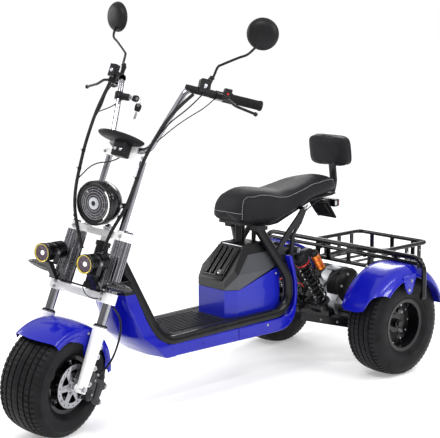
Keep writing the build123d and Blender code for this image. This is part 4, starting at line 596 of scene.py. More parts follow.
rows = [[no_prouder(q) for q in line] for line in rows]
p = Piece("front_cover_panel")
cut = min(range(len(stz)), key=lambda k: abs(stz[k].x - 452))
p.shell(rows[:cut + 1], 3.6, lambda q: Vector((q.x - 0.12, 0, q.z)), M["gloss_black"])
p.shell(rows[cut:], 3.4, lambda q: Vector((q.x - 0.12, 0, q.z)), M["blue"])
p.tube(rows[0][10:-10], 1.6, M["gloss_black"], n=8)
p.tube(rows[cut], 1.5, M["gloss_black"], n=8)


def cover_at(z, a):
    """A point on the cover's face at height z, a degrees round from the right side, and the way out."""
    i = min(range(len(stz)), key=lambda k: abs(stz[k].x - z))
    q, v = stz[i], stw[i]
    an = math.radians(a)
    yy = -v.z * math.copysign(abs(math.cos(an)) ** 0.62, math.cos(an))
    xx = q.z - 8 + (v.y + 8) * abs(math.sin(an)) ** 0.9
    return C(xx, yy, q.x)


for sg in (1, -1):
    for (x0, z0), (x1, z1) in (((-212, 450), (-249, 384)), ((-244, 440), (-276, 365))):
        pts, rad = [], []
        for k in range(13):
            f = k / 12
            z = z0 + (z1 - z0) * f
            i = min(range(len(stz)), key=lambda q: abs(stz[q].x - z))
            e = math.sqrt(max(0.02, 1 - (2 * f - 1) ** 2))
            co = cover_tree.find_nearest(C(x0 + (x1 - x0) * f, sg * stw[i].z, z))[0]
            away = (co - Vector((co.x - 0.07, 0, co.z))).normalized()
            pts.append(co - away * (0.0084 + 0.002 * (1 - e)))
            rad.append(10.2 * (0.35 + 0.65 * e))
        p.tube(pts, rad, M["blue"], n=20)
p.done("chassis", ("front_cover",), sharp=50)

# ------------------------------------------------------------------ side skirts, in two lengths with a seam
p = Piece("side_skirt_panels")
for sg in (1, -1):
    K = Frame3(C(0, 0, 0), X, Z, Y * sg)
    front = [(-428, 216.5), (-600, 214.5), (-739.7, 213), (-739.7, 263), (-398, 263), (-411, 246)]
    rear = [(-740.3, 213), (-940, 211), (-975, 213.5), (-1000, 222), (-1022, 237), (-1036, 256), (-1045, 282), (-1051, 330), (-1051, 388), (-1040, 440), (-1020, 500),
            (-1006, 496), (-1027, 436), (-1037, 388), (-1038, 330), (-1032, 300), (-1018, 279), (-1000, 268), (-960, 263), (-740.3, 263)]
    p.prism(K, front, 112.4, 141.8, M["blue"], 5, seg=3)
    p.prism(K, rear, 112.4, 141.8, M["blue"], 5, seg=3)
    p.screw(K(-889, 247, 141.6), K.z, 4.6, M["steel"])
    p.lathe(aim(K(-889, 247, 141.0), K.z), [(5.2, 0.4), (7.4, 1.1), (8.6, 0.4)], M["blue"], n=24)
    for x, z in ((-560, 238), (-1010, 250), (-1043, 350)):
        p.screw(K(x, z, 141.4), K.z, 4.0, M["blue"])
p.done("chassis", ("side_skirts",), sharp=45)

# ------------------------------------------------------------------ battery lid: ribs, border and lock
p = Piece("battery_lid_ribbed")
sd = Vector((-826 + 728.6, 0, 541.1 - 430.3)).normalized()          # up the slope
sn = Vector((0.7512, 0, 0.66)); sn = (sn - sd * sn.dot(sd)).normalized()
K = Frame3(C(-728.6, 0, 430.3), sd, Y, sd.cross(Y) if sd.cross(Y).dot(sn) > 0 else -sd.cross(Y))
Ls = 147.6
p.prism(K, [(0, -58), (Ls, -57), (Ls, 57), (0, 58)], 0.2, 3.0, M["gloss_black"], 1.0)
for y in (-42, -14, 14, 42):
    p.prism(K, [(20, y - 8.5), (Ls - 2, y - 8.5), (Ls - 2, y + 8.5), (20, y + 8.5)], 1.0, 11.5, M["gloss_black"], 5.0, seg=4)
for y in (-56, 56):
    p.prism(K, [(20, y - 3), (Ls - 2, y - 3), (Ls - 2, y + 2), (20, y + 2)], 1.0, 8.0, M["gloss_black"], 2.0, seg=3)
p.prism(K, [(2, -57), (17, -57), (17, 57), (2, 57)], 2.0, 5.4, M["plastic"], 1.6)
p.prism(K, [(-4, -54), (Ls + 6, -54), (Ls + 6, 54), (-4, 54)], -4.2, 0.6, M["plastic"], 0.8)
kl = Frame3(K(32, 28, 4), K.x, K.y, K.z)
p.lathe(kl, [(9.5, -2), (9.5, 4.4), (8.6, 5.6), (6.4, 6.0), (6.0, 5.0), (0, 5.0)], M["chrome"], n=32)
p.block(kl, (0, 0, 5.2), (7, 1.4, 1.2), M["black"], 0.3)
p.tube([C(-838, -54, 546), C(-838, 54, 546)], 4.0, M["steel"], n=16)
p.done("battery_lid", ("battery_lid",), sharp=40)


# ------------------------------------------------------------------ soft parts
def puff(ob, voxel, cap, pressure=4.0, stiff=14.0):
    """Inflate a closed form as cloth, no point moving more than cap, with the result applied."""
    md = ob.modifiers.new("remesh", "REMESH"); md.mode = "VOXEL"; md.voxel_size = voxel; md.use_smooth_shade = True
    dg = bpy.context.evaluated_depsgraph_get()
    me = bpy.data.meshes.new_from_object(ob.evaluated_get(dg))
    ob.modifiers.clear()
    mats = list(ob.data.materials)
    ob.data = me
    if not me.materials:
        for m in mats:
            me.materials.append(m)
    rest = [v.co.copy() for v in me.vertices]
    cl = ob.modifiers.new("cloth", "CLOTH")
    st = cl.settings
    st.quality = 4
    st.use_pressure = True
    st.uniform_pressure_force = pressure
    st.effector_weights.gravity = 0
    st.tension_stiffness = st.compression_stiffness = stiff
    st.bending_stiffness = 0.4
    cl.collision_settings.use_collision = False
    cl.point_cache.frame_start, cl.point_cache.frame_end = 1, 20
    for f in range(1, 21):
        sc.frame_set(f)
    dg = bpy.context.evaluated_depsgraph_get()
    ev = ob.evaluated_get(dg).to_mesh()
    out = []
    for a, v in zip(rest, ev.vertices):
        d = v.co - a
        out.append(a + (d.normalized() * cap if d.length > cap else d))
    ob.modifiers.clear()
    for v, q in zip(ob.data.vertices, out):
        v.co = q
    ob.data.update()
    sc.frame_set(1)


def soft_lathe(name, stations, m, nseg=44, ends=True):
    """A closed form from rows of points, closed round and capped at both ends."""
    p = Piece(name)
    p.grid(stations, m, cv=True, caps=True)
    return p


# seat: station x, half width, underside, top, crown
SE = [(-807, 64, 652, 662, 2), (-811, 79, 645, 690, 4), (-821, 88, 640, 718, 6), (-840, 94, 635, 735, 7), (-868, 99, 631, 745, 8), (-900, 105, 628, 749, 8), (-932, 111, 626, 748, 8), (-968, 117, 626, 743, 8),
      (-1030, 121, 645, 734, 8), (-1110, 116, 671, 744, 8), (-1200, 103, 697, 760, 8), (-1300, 84, 708, 765, 7), (-1346, 68, 713, 758, 5), (-1358, 57, 716, 751, 3)]
sea = cr([(a, b, c) for a, b, c, d, e in SE], 4)
seb = cr([(a, d, e) for a, b, c, d, e in SE], 4)


def seat_section(i, grow=1.0):
    x, w, low = sea[i]
    _, top, crown = seb[i]
    w *= grow
    zc, hz = (low + top) / 2, (top - low) / 2 * grow
    out = []
    for k in range(40):
        a = 2 * math.pi * k / 40
        n = 3.6
        cy, sz = math.cos(a), math.sin(a)
        y = w * math.copysign(abs(cy) ** (2 / n), cy)
        z = zc + hz * math.copysign(abs(sz) ** (2 / n), sz)
        y *= 1.04 - 0.15 * (z - low) / (top - low)
        if sz > 0:
            z += crown * (1 - min(1, (y / w) ** 2)) * sz
        out.append(C(x, y, z))
    return out


rows = [[C(sea[0].x + 3, 0, (sea[0].z + seb[0].y) / 2) * 0.35 + q * 0.65 for q in seat_section(0, 0.9)]]
rows += [seat_section(i) for i in range(len(sea))]
rows += [[C(sea[-1].x - 3, 0, (sea[-1].z + seb[-1].y) / 2) * 0.35 + q * 0.65 for q in seat_section(len(sea) - 1, 0.9)]]
p = Piece("seat_cushion")
p.grid(rows, M["vinyl"], cv=True, caps=True)
seat = p.done("chassis", ("seat",), sharp=0)
puff(seat, 0.0055, 0.006, pressure=3.5)
md = seat.modifiers.new("smooth", "SUBSURF"); md.levels = md.render_levels = 1
for f in seat.data.polygons:
    f.use_smooth = True

# backrest: a pillow with a flat back edge
BC = C(-1350, 0, 866)
bz = Vector((-math.cos(math.radians(8)), 0, math.sin(math.radians(8))))
KB = Frame3(BC, Y, bz.cross(Y), bz)
if KB.y.z < 0:
    KB = Frame3(BC, Y, -KB.y, bz)
rows = []
for k in range(13):
    t = k / 12
    dz = 3 + 50 * t
    g = (1 - (1 - min(1, t / 0.28)) ** 2.4 * 0.2) if t < 0.28 else (1 - max(0, (t - 0.86) / 0.14) ** 2 * 0.05)
    line = []
    for j in range(56):
        a = 2 * math.pi * j / 56
        n = 5.0
        ca, sa = math.cos(a), math.sin(a)
        yy = 105 * g * math.copysign(abs(ca) ** (2 / n), ca)
        zz = 61.5 * g * math.copysign(abs(sa) ** (2 / n), sa)
        bow = 7 * (yy / 105) ** 2
        line.append(KB(yy, zz, dz + bow * (1 - t)))
    rows.append(line)
p = Piece("backrest_cushion")
p.grid(rows, M["vinyl"], cv=True, caps=True)
back = p.done("chassis", ("backrest",), sharp=0)
puff(back, 0.0045, 0.004, pressure=3.0)
md = back.modifiers.new("smooth", "SUBSURF"); md.levels = md.render_levels = 1
for f in back.data.polygons:
    f.use_smooth = True


def on_surface(ob, pts, lift):
    dg = bpy.context.evaluated_depsgraph_get()
    ev = ob.evaluated_get(dg)
    me = ev.to_mesh()
    tree = BVHTree.FromPolygons([ob.matrix_world @ v.co for v in me.vertices], [f.vertices for f in me.polygons])
    out = []
    for q in pts:
        co, no, _, _ = tree.find_nearest(q)
        c = BVH_C[ob.name]
        if no.dot(co - c(co)) < 0:
            no = -no
        out.append((co + no * lift, no))
    return out


BVH_C = {"seat_cushion": lambda q: Vector((min(q.x, C(-880, 0, 0).x), 0, 0.69 if q.x > C(-1000, 0, 0).x else 0.715)), "backrest_cushion": lambda q: BC + bz * 0.028}


def stitched(p, ob, path, welt=1.3, every=0.0085, long=0.0052, lift=0.0002):
    """A sewn seam over a soft piece: a raised welt and its row of stitches."""
    got = on_surface(ob, path, lift)
    P = [g[0] for g in got]
    p.tube(P, welt, M["vinyl"], n=8)
    d = 0.0
    acc = [0.0]
    for a, b in zip(P, P[1:]):
        d += (b - a).length
        acc.append(d)

    def where(t):
        for i in range(len(P) - 1):
            if acc[i + 1] >= t:
                f = (t - acc[i]) / max(1e-9, acc[i + 1] - acc[i])
                return P[i].lerp(P[i + 1], f) + got[i][1] * (welt / 1000 + 0.0001)
        return P[-1]
    t = 0.004
    while t + long < d:
        p.tube([where(t), where(t + long / 2), where(t + long)], [0.4, 0.8, 0.4], M["thread"], n=6)
        t += every


p = Piece("seat_seams")


def edge_path(sg):
    """Up the front corner of the seat and back along its top edge."""
    out = [tuple(C(-803, sg * 88, 648)), tuple(C(-804, sg * 87, 672)), tuple(C(-806, sg * 85, 700)), tuple(C(-811, sg * 82, 724)), tuple(C(-822, sg * 80, 742)), tuple(C(-842, sg * 81, 752))]
    for x in range(-870, -1353, -40):
        i = min(range(len(sea)), key=lambda q: abs(sea[q].x - x))
        out.append(tuple(C(x, sg * sea[i].y * 0.885, seb[i].y - 1)))
    return cr(out, 8)


for sg in (1, -1):
    stitched(p, seat, edge_path(sg))
stitched(p, seat, [C(-800 - 8 * abs(t) ** 5, 84 * t, 678) for t in [k / 24 - 1 for k in range(49)]], welt=1.0)
p.done("chassis", sharp=0)

p = Piece("backrest_seams")
for dz in (7.5,):
    loop = []
    for j in range(121):
        a = 2 * math.pi * j / 120
        ca, sa = math.cos(a), math.sin(a)
        loop.append(KB(105 * math.copysign(abs(ca) ** 0.4, ca), 61.5 * math.copysign(abs(sa) ** 0.4, sa), dz + 36))
    stitched(p, back, loop)
p.done("chassis", sharp=0)

# ------------------------------------------------------------------ rear shock absorbers
for nm, sg in (("left", 1), ("right", -1)):
    y = 85 * sg
    top, low = C(-1100, y, 500), C(-1286, y, 226)
    d = (low - top).normalized()
    n = (low - top).length * 1000
    K = aim(top, d, Y)
    p = Piece(f"shock_absorber_{nm}")
    for q in (top, low):
        ke = Frame3(q, X, Z, -Y)
        p.lathe(ke, [(8, -11), (15, -11), (17, -9), (17, 9), (15, 11), (8, 11)], M["black"], n=32, closed=True)
        p.bolt(q + Y * 0.0112 * sg, Y * sg, 7.5, M["black"] if q is low else M["steel"], h=7)
    p.lathe(K, [(0, 12), (14, 12), (20, 18), (25, 22), (27, 28), (27, 44), (25, 47), (25, 50), (29, 52), (29, 57), (27, 60), (10, 62)], M["plastic"], n=40)
    p.lathe(K, [(24, 60), (29.5, 60.5), (30, 63), (29.5, 66), (24, 66.5)], M["red"], n=40)
    p.lathe(K, [(17, 60), (17, n - 60), (8, n - 58)], M["black"], n=28)
    p.lathe(K, [(18.5, 70), (18.5, 150), (17, 152)], M["black"], n=28)
    p.lathe(K, [(8, n - 62), (26, n - 60), (29.5, n - 56), (29.5, n - 50), (24, n - 47), (12, n - 40), (12, n - 14)], M["plastic"], n=40)
    coil = []
    turns, a0, a1 = 8.5, 68, n - 68
    for k in range(int(turns * 22) + 1):
        t = k / (turns * 22)
        a = 2 * math.pi * turns * t
        ease = t + 0.035 * math.sin(2 * math.pi * t)
        coil.append(K(25 * math.cos(a), 25 * math.sin(a), a0 + (a1 - a0) * t))
    p.tube(coil, 4.1, M["gloss_black"], n=8)
    r0 = C(-1173, y + 23 * sg, 486)
    kr = aim(r0, d, Y)
    p.lathe(kr, [(0, -7), (12, -7), (17, -3), (17.5, 2), (17.5, 11), (16, 13)], M["plastic"], n=32)
    prof = [(16, 12)]
    for k in range(7):
        h = 13 + k * 10
        prof += [(17, h), (17.4, h + 1.6), (17.4, h + 7.4), (17, h + 9)]
    prof += [(15, 84)]
    p.lathe(kr, prof, M["orange"], n=36)
    for h in (31, 61):
        p.lathe(kr, [(17.2, h), (18.2, h + 0.8), (18.2, h + 3.2), (17.2, h + 4)], M["red"], n=36)
    p.lathe(kr, [(15, 83), (17, 84), (17, 89), (13, 92), (0, 92)], M["plastic"], n=32)
    ks = Frame3(C(0, 0, 0), X, Z, -Y)
    y0, y1 = sorted((-(y - 7 * sg), -(y + 27 * sg)))
    p.prism(ks, [(-1106, 474), (-1104, 496), (-1160, 506), (-1184, 494), (-1178, 474), (-1140, 470)], y0 + 4, y1 - 4, M["plastic"], 4, seg=3)
    p.bolt(C(-1096, y + 19 * sg, 503), Y * sg, 8.5, M["steel"], h=6)
    if sg > 0:
        p.done("chassis", ("rear_shocks",))
    else:
        p.done("chassis")

# ------------------------------------------------------------------ drive motor and its case
p = Piece("drive_motor_case")
KM = Frame3(C(-1440, 0, 300), Z, X, Y)
prof = [(0, 78), (22, 78), (24, 75), (50, 75), (54, 72), (66, 68), (73, 60), (76, 55)]
for k in range(6):
    h = 54 - k * 8
    prof += [(75.8, h), (75.8, h - 4), (69, h - 4.6), (69, h - 7.4)]
p.lathe(KM, prof + [(75.8, 5)], M["plastic"], n=64)
p.lathe(KM, [(75.8, 5), (76, 4), (76, -38), (75.8, -39)], M["alu"], n=64)
p.lathe(KM, [(75.8, -39), (75.8, -84), (68, -91), (0, -92)], M["plastic"], n=64)
for k in range(6):
    a = math.radians(60 * k + 20)
    p.bolt(KM(58 * math.cos(a), 58 * math.sin(a), 70.5), Y, 4.6, M["steel"], h=4)
kc = Frame3(C(0, 0, 0), X, Z, -Y)
p.prism(kc, [(-1352, 172), (-1352, 246), (-1372, 276), (-1400, 298), (-1448, 298), (-1448, 172)], -62, 18, M["alu"], 7, seg=3)
for x, z in ((-1360, 182), (-1360, 240), (-1392, 284), (-1440, 182)):
    p.bolt(C(x, 61.6, z), Y, 5, M["steel"], h=4)
p.block(C, (-1432, 0, 371), (70, 60, 8), M["alu"], 3)
p.tube([C(-1404, 40, 356), C(-1380, 52, 366), C(-1330, 58, 352), C(-1270, 62, 310), C(-1180, 60, 280)], 5, M["cable"])
p.done("chassis", ("drive_motor",))

# ------------------------------------------------------------------ lamp and number bracket under the seat's tail
p = Piece("tail_lamp_unit")
p.block(C, (-1378, 0, 655), (20, 83, 33), M["gloss_black"], 4)
p.block(C, (-1393, 0, 655), (17, 79, 29), M["redlens"], 4)
p.block(C, (-1388, 0, 655), (6, 82, 32), M["gloss_black"], 2)
p.block(C, (-1348, 0, 656), (40, 39, 21), M["plastic"], 3)
for sg in (1, -1):
    p.block(C, (-1376, sg * 41.4, 655), (10, 1.6, 18), M["lens"], 0.6)
p.done("chassis", ("tail_light",))
p = Piece("number_bracket")
kp = Frame3(C(0, 0, 0), X, Z, -Y)
p.prism(kp, [(-1290, 671), (-1318, 671), (-1372, 598), (-1366, 594), (-1314, 664), (-1290, 664)], -51, 51, M["plastic"], 1.2)
for k in range(9):
    y = -40 + k * 10
    p.prism(kp, [(-1312, 662), (-1350, 611), (-1346, 606), (-1305, 656)], y - 1.6, y + 1.6, M["plastic"], 0.6)
for sg in (1, -1):
    p.block(C, (-1300, sg * 16, 678), (28, 8, 24), M["plastic"], 2)
    kk = aim(C(-1364, sg * 44, 600), Vector((0.8, 0, -0.6)), Y)
    p.lathe(kk, [(4, -3), (7, -3), (7, 3), (4, 3)], M["plastic"], n=24, closed=True)
p.done("chassis", ("plate_bracket",))

# ------------------------------------------------------------------ bolts, clips and small chassis pieces
p = Piece("chassis_fittings")
for x, y in ((-1450, 1), (-1450, -1)):
    for z in (330, 314):
        p.bolt(C(x, y * 440, z), Y * y, 4.6, M["steel"], h=4)
for sg in (1, -1):
    p.bolt(C(-1026, sg * 112.4, 466), Y * sg, 6.5, M["steel"], h=5)
    p.bolt(C(-1120, sg * 112.4, 672), Y * sg, 6, M["steel"], h=5)
    p.screw(C(-977, sg * 96.2, 430), Y * sg, 4.6, M["steel"])
    for x in (-1570, -1655, -1738):
        p.screw(C(x, sg * 194, 432), Y * sg, 4, M["steel"])
    p.bolt(C(-1378, sg * 206.4, 204), Y * sg, 7, M["steel"], h=6)
    for x in (-1180, -1240):
        p.bolt(C(x, sg * (88 + (x + 1110) / -190 * 102 + 21), 236 - (x + 1110) / -190 * 48), Y * sg, 5, M["steel"], h=4)
    p.block(C, (-1240, sg * 120, 205), (9, 2, 26), M["amber"], 0.8)
for y in (-114, 136):
    p.lathe(aim(C(-1450, y, 446), -Z), [(0, -3), (9, -3), (9.6, 0), (9.6, 9), (7, 12), (0, 13)], M["rubber"], n=28)
for x in (-500, -640, -780):
    for sg in (1, -1):
        p.screw(C(x, sg * 98, 290.2), Z, 3.6, M["black"])
p.done("chassis")
wire("lamp_lead", [C(-1030, 66, 520), C(-1038, 84, 560), C(-1060, 92, 600), (C(-1110, 92, 634)), C(-1180, 84, 668), C(-1260, 60, 686), C(-1320, 30, 668), C(-1330, 12, 660)], 2.2, M["cable"], "chassis")
wire("signal_lead", [C(-996, 46, 372), C(-1050, 44, 392), C(-1110, 41, 376), C(-1150, 40, 350), C(-1176, 40, 352), C(-1196, 34, 330)], 2.4, M["redwire"], "chassis")
wire("motor_lead", [C(-1000, -40, 300), C(-1060, -44, 300), C(-1140, -46, 290), C(-1230, -46, 300), C(-1320, -44, 330), C(-1376, -42, 338)], 6, M["cable"], "chassis")

# ------------------------------------------------------------------ headlight
ph = math.radians(20.2)
LD = S.d(math.cos(ph), 0, -math.sin(ph))
KH = aim(S(76.8, 0, 609), LD, SS)
p = Piece("headlight_unit")
p.lathe(KH, [(0, -105), (22, -105), (30, -104), (41, -100), (50, -94.6), (60, -83), (68, -70), (74, -54), (76.6, -40), (77, -26), (76.6, -16), (75, -14), (75, -12.6), (77, -12), (77.2, -4), (75.6, 0), (73, 1.2), (70.5, 0), (69.5, -4)], M["gloss_black"], n=72)
p.lathe(KH, [(69.8, -4), (66, -7), (60, -8), (57, -7), (56.6, -5)], M["gloss_black"], n=72)
p.lathe(KH, [(57.4, -6), (40, -3.4), (22, -2), (0, -1.6)], M["darklens"], n=72)
for r, h in ((28, -2.2), (38, -3.1), (47, -4.3), (56, -5.6)):
    p.lathe(KH, [(r - 0.9, h - 0.6), (r - 0.5, h + 0.5), (r + 0.5, h + 0.5), (r + 0.9, h - 0.6)], M["steel"], n=72)
for k in range(12):
    a = math.radians(30 * k + 15)
    ca, sa = math.cos(a), math.sin(a)
    p.tube([KH(38 * ca, 38 * sa, -3.0), KH(47 * ca, 47 * sa, -4.2), KH(56 * ca, 56 * sa, -5.6)], 0.5, M["steel"], n=6)
p.lathe(KH, [(22, -3), (21, 0.2), (14, 1.4), (9, 0.8), (8, -0.8)], M["lens"], n=12, smooth=False)
p.lathe(KH, [(9, -1), (8.4, 0.9), (4, 1.5), (0, 1.6)], M["gloss_black"], n=32)
# Painted reflection: a glowing arc inside the rim stands in for a softbox reflection.
p.lathe(KH, [(67.4, -6.5), (66.8, -4.2), (61.4, -4.4), (60.6, -7)], M["led"], n=40, a0=222, a1=318)
p.lathe(KH, [(0, -106), (9, -106), (9, -112), (6, -116), (0, -116)], M["rubber"], n=24)
for y in (-1, 1):
    p.block(S, (-19, y * 66, 637), (19, 16, 13), M["plastic"], 3)
    p.bolt(S(30, y * 76.6, 626), YS * y, 6, M["steel"], h=5)
    p.prism(Frame3(S(0, 0, 0), US, SS, -YS), [(-28, 628), (-10, 626), (34, 618), (38, 628), (34, 636), (-10, 646), (-28, 646)], -y * 77 - 2.2, -y * 77 + 2.2, M["plastic"], 1)
p.block(S, (-19, 0, 637), (17, 126, 12), M["plastic"], 2)
p.done("steering", ("headlight",))

# ------------------------------------------------------------------ spotlights
p2 = math.radians(19.4)
SD = S.d(math.cos(p2), 0, -math.sin(p2))
p = Piece("spotlight_units")
for sg in (1, -1):
    K = aim(S(146.2, sg * 94.4, 398.6), SD, SS)
    prof = [(0, -98), (22, -98), (30, -97)]
    for k in range(6):
        h = -97 + k * 6.2
        prof += [(31, h), (31, h + 2.8), (25, h + 3.2), (25, h + 5.8)]
    prof += [(27, -59), (27, -42)]
    for k in range(4):
        h = -41 + k * 6.2
        prof += [(31, h), (31, h + 2.8), (25, h + 3.2), (25, h + 5.8)]
    prof += [(31.5, -15), (32.6, -13), (33, -11), (33, 0.4), (32.4, 1.6), (31.7, 1.6), (31.3, -0.6)]
    p.lathe(K, prof, M["gloss_black"], n=56)
    p.lathe(K, [(31.5, -1), (31.1, 0.9), (29.4, 1.1), (28.3, 0.3), (27.6, -3)], M["gold"], n=56)
    p.lathe(K, [(28.2, -2), (20, -3.6), (9, -4.4), (0, -4.6)], M["pinklens"], n=48)
    for k in range(6):
        a = math.radians(60 * k)
        p.lathe(aim(K(18 * math.cos(a), 18 * math.sin(a), -4.4), K.z), [(6, -1), (5.4, 1.0), (3, 2.0), (0, 2.4)], M["pinklens"], n=16)
    # Painted highlight: the glowing lens centre stands in for a bright reflection.
    p.lathe(aim(K(0, 0, -4.8), K.z), [(9, -1), (8, 1.4), (4, 2.6), (0, 3.0)], M["led"], n=20)
    for k in range(4):
        a = math.radians(45 + 90 * k)
        p.screw(K(29.7 * math.cos(a), 29.7 * math.sin(a), 0.8), K.z, 1.2, M["black"])
    for y in (27.4, -27.4):
        p.bolt(S(100, sg * 94.4 + y * 1.17, 415), YS * math.copysign(1, y), 4.6, M["steel"], h=4)
p.done("steering", ("spotlights",))

# ------------------------------------------------------------------ turn signals: thin leaves with a patterned lens
p = Piece("turn_signal_units")
for sg in (1, -1):
    lift = 0 if sg > 0 else 6
    sec = cr([(126, 12, 10), (134, 14.5, 12), (150, 17, 14.2), (168, 16.6, 14), (190, 14.5, 12), (212, 10.5, 8.5), (228, 5.5, 4.8), (234, 2.4, 2.6)], 4)
    cen = cr([(126, 32, 356), (134, 32.3, 356.4), (150, 33, 357.4), (168, 34.6, 358.4), (190, 36.2, 359), (212, 38, 359), (228, 39.6, 359), (234, 40, 359)], 4)
    rows, rows2 = [], []
    for q, c in zip(sec, cen):
        rows.append([S(c.y + 1.15 * q.y * math.cos(a) * (1.0 if math.cos(a) < 0 else 0.7), sg * q.x, c.z + lift + 1.22 * q.z * math.sin(a)) for a in [2 * math.pi * k / 24 for k in range(24)]])
    p.grid(rows, M["gloss_black"], cv=True, caps=True)
    for q, c in list(zip(sec, cen))[3:-2]:
        rows2.append([S(c.y + 0.6 + q.y * 0.96 * math.cos(a), sg * q.x, c.z + lift + q.z * 1.06 * math.sin(a)) for a in [math.radians(-80 + 160 * k / 12) for k in range(13)]])
    p.grid(rows2, M["smoke"])
    p.tube([S(32, sg * 110, 341), S(32, sg * 116, 350), S(32, sg * 128, 356 + lift)], [7, 6, 6], M["rubber"], n=14)
    p.bolt(S(32, sg * 112, 336), SS, 6, M["steel"], h=5)
p.done("steering", ("turn_signals",))

# ------------------------------------------------------------------ front fender
KF2 = Frame3(O, US, SS, -YS)
half = [(174, 93), (181, 93), (187, 92.8), (192.5, 91), (198.5, 86.6), (203.6, 78), (206.8, 68), (209.4, 56), (211.3, 40), (212.5, 21), (213, 0)]
fs = half + [(r, -y) for r, y in reversed(half[:-1])]
fsec = cr([(r, y, 0) for r, y in fs], 3)
rows = []
for q in fsec:
    r, y = q.x, q.y
    t = abs(y) / 93
    lo = 33 + 4 * t ** 2
    hi = 157.6 - 1.5 * t ** 2
    rows.append([KF2(r * math.cos(math.radians(lo + (hi - lo) * k / 52)), r * math.sin(math.radians(lo + (hi - lo) * k / 52)), y) for k in range(53)])
p = Piece("front_fender_shell")
p.shell(rows, 2.6, lambda q: O + YS * (q - O).dot(YS), M["blue"])
flap = [(187 * math.cos(math.radians(a)), 187 * math.sin(math.radians(a))) for a in range(38, 157, 7)]
flap += [(r * math.cos(math.radians(a)), r * math.sin(math.radians(a))) for r, a in ((182, 156.4), (158, 148), (166, 138), (168, 131), (169, 121), (152, 110), (118, 103), (97, 97), (112, 89), (144, 82), (153, 72.5), (170, 56), (184, 42))]
for sg in (1, -1):
    p.prism(KF2, flap, sg * 91.0, sg * 93.0, M["blue"], 0.7)
    for a in (86, 97):
        q = KF2(184 * math.cos(math.radians(a)), 184 * math.sin(math.radians(a)), sg * 93.2)
        p.bolt(q, KF2.z * sg, 4.2, M["steel"], h=3)
p.tube([r_ for r_ in rows[0]], 1.9, M["blue"], n=8)
p.tube([r_ for r_ in rows[-1]], 1.9, M["blue"], n=8)
p.done("steering", ("front_fender",), sharp=55)

# ------------------------------------------------------------------ caliper
p = Piece("brake_caliper_unit")
cal = [(-46, 64), (-62, 66), (-83, 57), (-93, 34), (-96, 4), (-91, -33), (-78, -39), (-64, -39), (-54, -12), (-51, 28)]
p.prism(KF2, cal, -81.6, -74, M["gloss_black"], 2.4)
p.prism(KF2, cal, -109.6, -90, M["gloss_black"], 5, seg=3)
p.prism(KF2, [(-80, 57), (-93, 34), (-96, 4), (-91, -33), (-82, -36), (-83.5, 4), (-80, 30), (-72, 52)], -92, -80, M["gloss_black"], 1)
ext = [(-84, 46), (-112, 42), (-140, 36), (-154, 28), (-154, 16), (-136, 6), (-132, -20), (-146, -28), (-150, -40), (-138, -46), (-104, -44), (-88, -34)]
p.prism(KF2, ext, -109, -95.2, M["gloss_black"], 2.5, seg=3)
for u, s_ in ((-145, 22), (-141, -37)):
    p.bolt(S(u, 109, s_), YS, 4.6, M["steel"], h=4)
p.prism(KF2, [(-96, 30), (-122, 26), (-126, 4), (-122, -26), (-98, -28)], -111.4, -107, M["black"], 1.4)
for u, s_ in ((-74, 36), (-78, -14)):
    k = aim(S(u, 108.4, s_), YS, US)
    p.lathe(k, [(0, 3.4), (7, 3.4), (9, 2.6), (15, 2.4), (16.5, 0)], M["black"], n=28)
    p.bolt(S(u, 111, s_), YS, 4, M["steel"], h=3)
for u, s_ in ((-38, 76), (-34, 22)):
    p.bolt(S(u, 124.6, s_), YS, 6, M["steel"], h=5)
p.prism(KF2, [(-22, 84), (-46, 86), (-70, 52), (-66, 6), (-30, 8), (-28, 78)], -112, -106, M["black"], 1.5)
p.bolt(S(-96, 98, 52), S.d(-0.3, 0, 1), 6, M["steel"], h=6)
p.done("steering", ("brake_caliper",))

# ------------------------------------------------------------------ brake disc with its holes and windows
def ring_pts(r, n, a0=0.0, cx=0.0, cy=0.0):
    return [(cx + r * math.cos(a0 + 2 * math.pi * k / n), cy + r * math.sin(a0 + 2 * math.pi * k / n)) for k in range(n)]


holes = [ring_pts(14, 28)]
for k in range(18):
    a = math.radians(20 * k + 6)
    r = 66.5 if k % 2 else 69.5
    holes.append(ring_pts(3.0, 12, 0, r * math.cos(a), r * math.sin(a)))
for k in range(6):
    a = 60 * k + 20
    h_ = [(57.5, -19), (58.6, -14), (59, -7), (59, 0), (59, 7), (58.6, 14), (57.5, 19), (55, 19.6), (50, 17), (31, 8), (29, 4), (28.6, 0), (29, -4), (31, -8), (50, -17), (55, -19.6)]
    holes.append([(r * math.cos(math.radians(a + b)), r * math.sin(math.radians(a + b))) for r, b in h_])
p = Piece("brake_disc_plate")
p.plate(KF, ring_pts(76.5, 90), holes, 84, 87.6, M["disc"], 0.3)
p.lathe(KF, [(62.5, 87.5), (62.7, 87.9), (63.3, 87.9), (63.5, 87.5)], M["disc"], n=80)
for a in range(0, 360, 60):
    p.screw(KF(24 * math.cos(math.radians(a)), 24 * math.sin(math.radians(a)), 87.4), KF.z, 3.6, M["steel"])
p.done("front_wheel", ("brake_disc",), sharp=30)

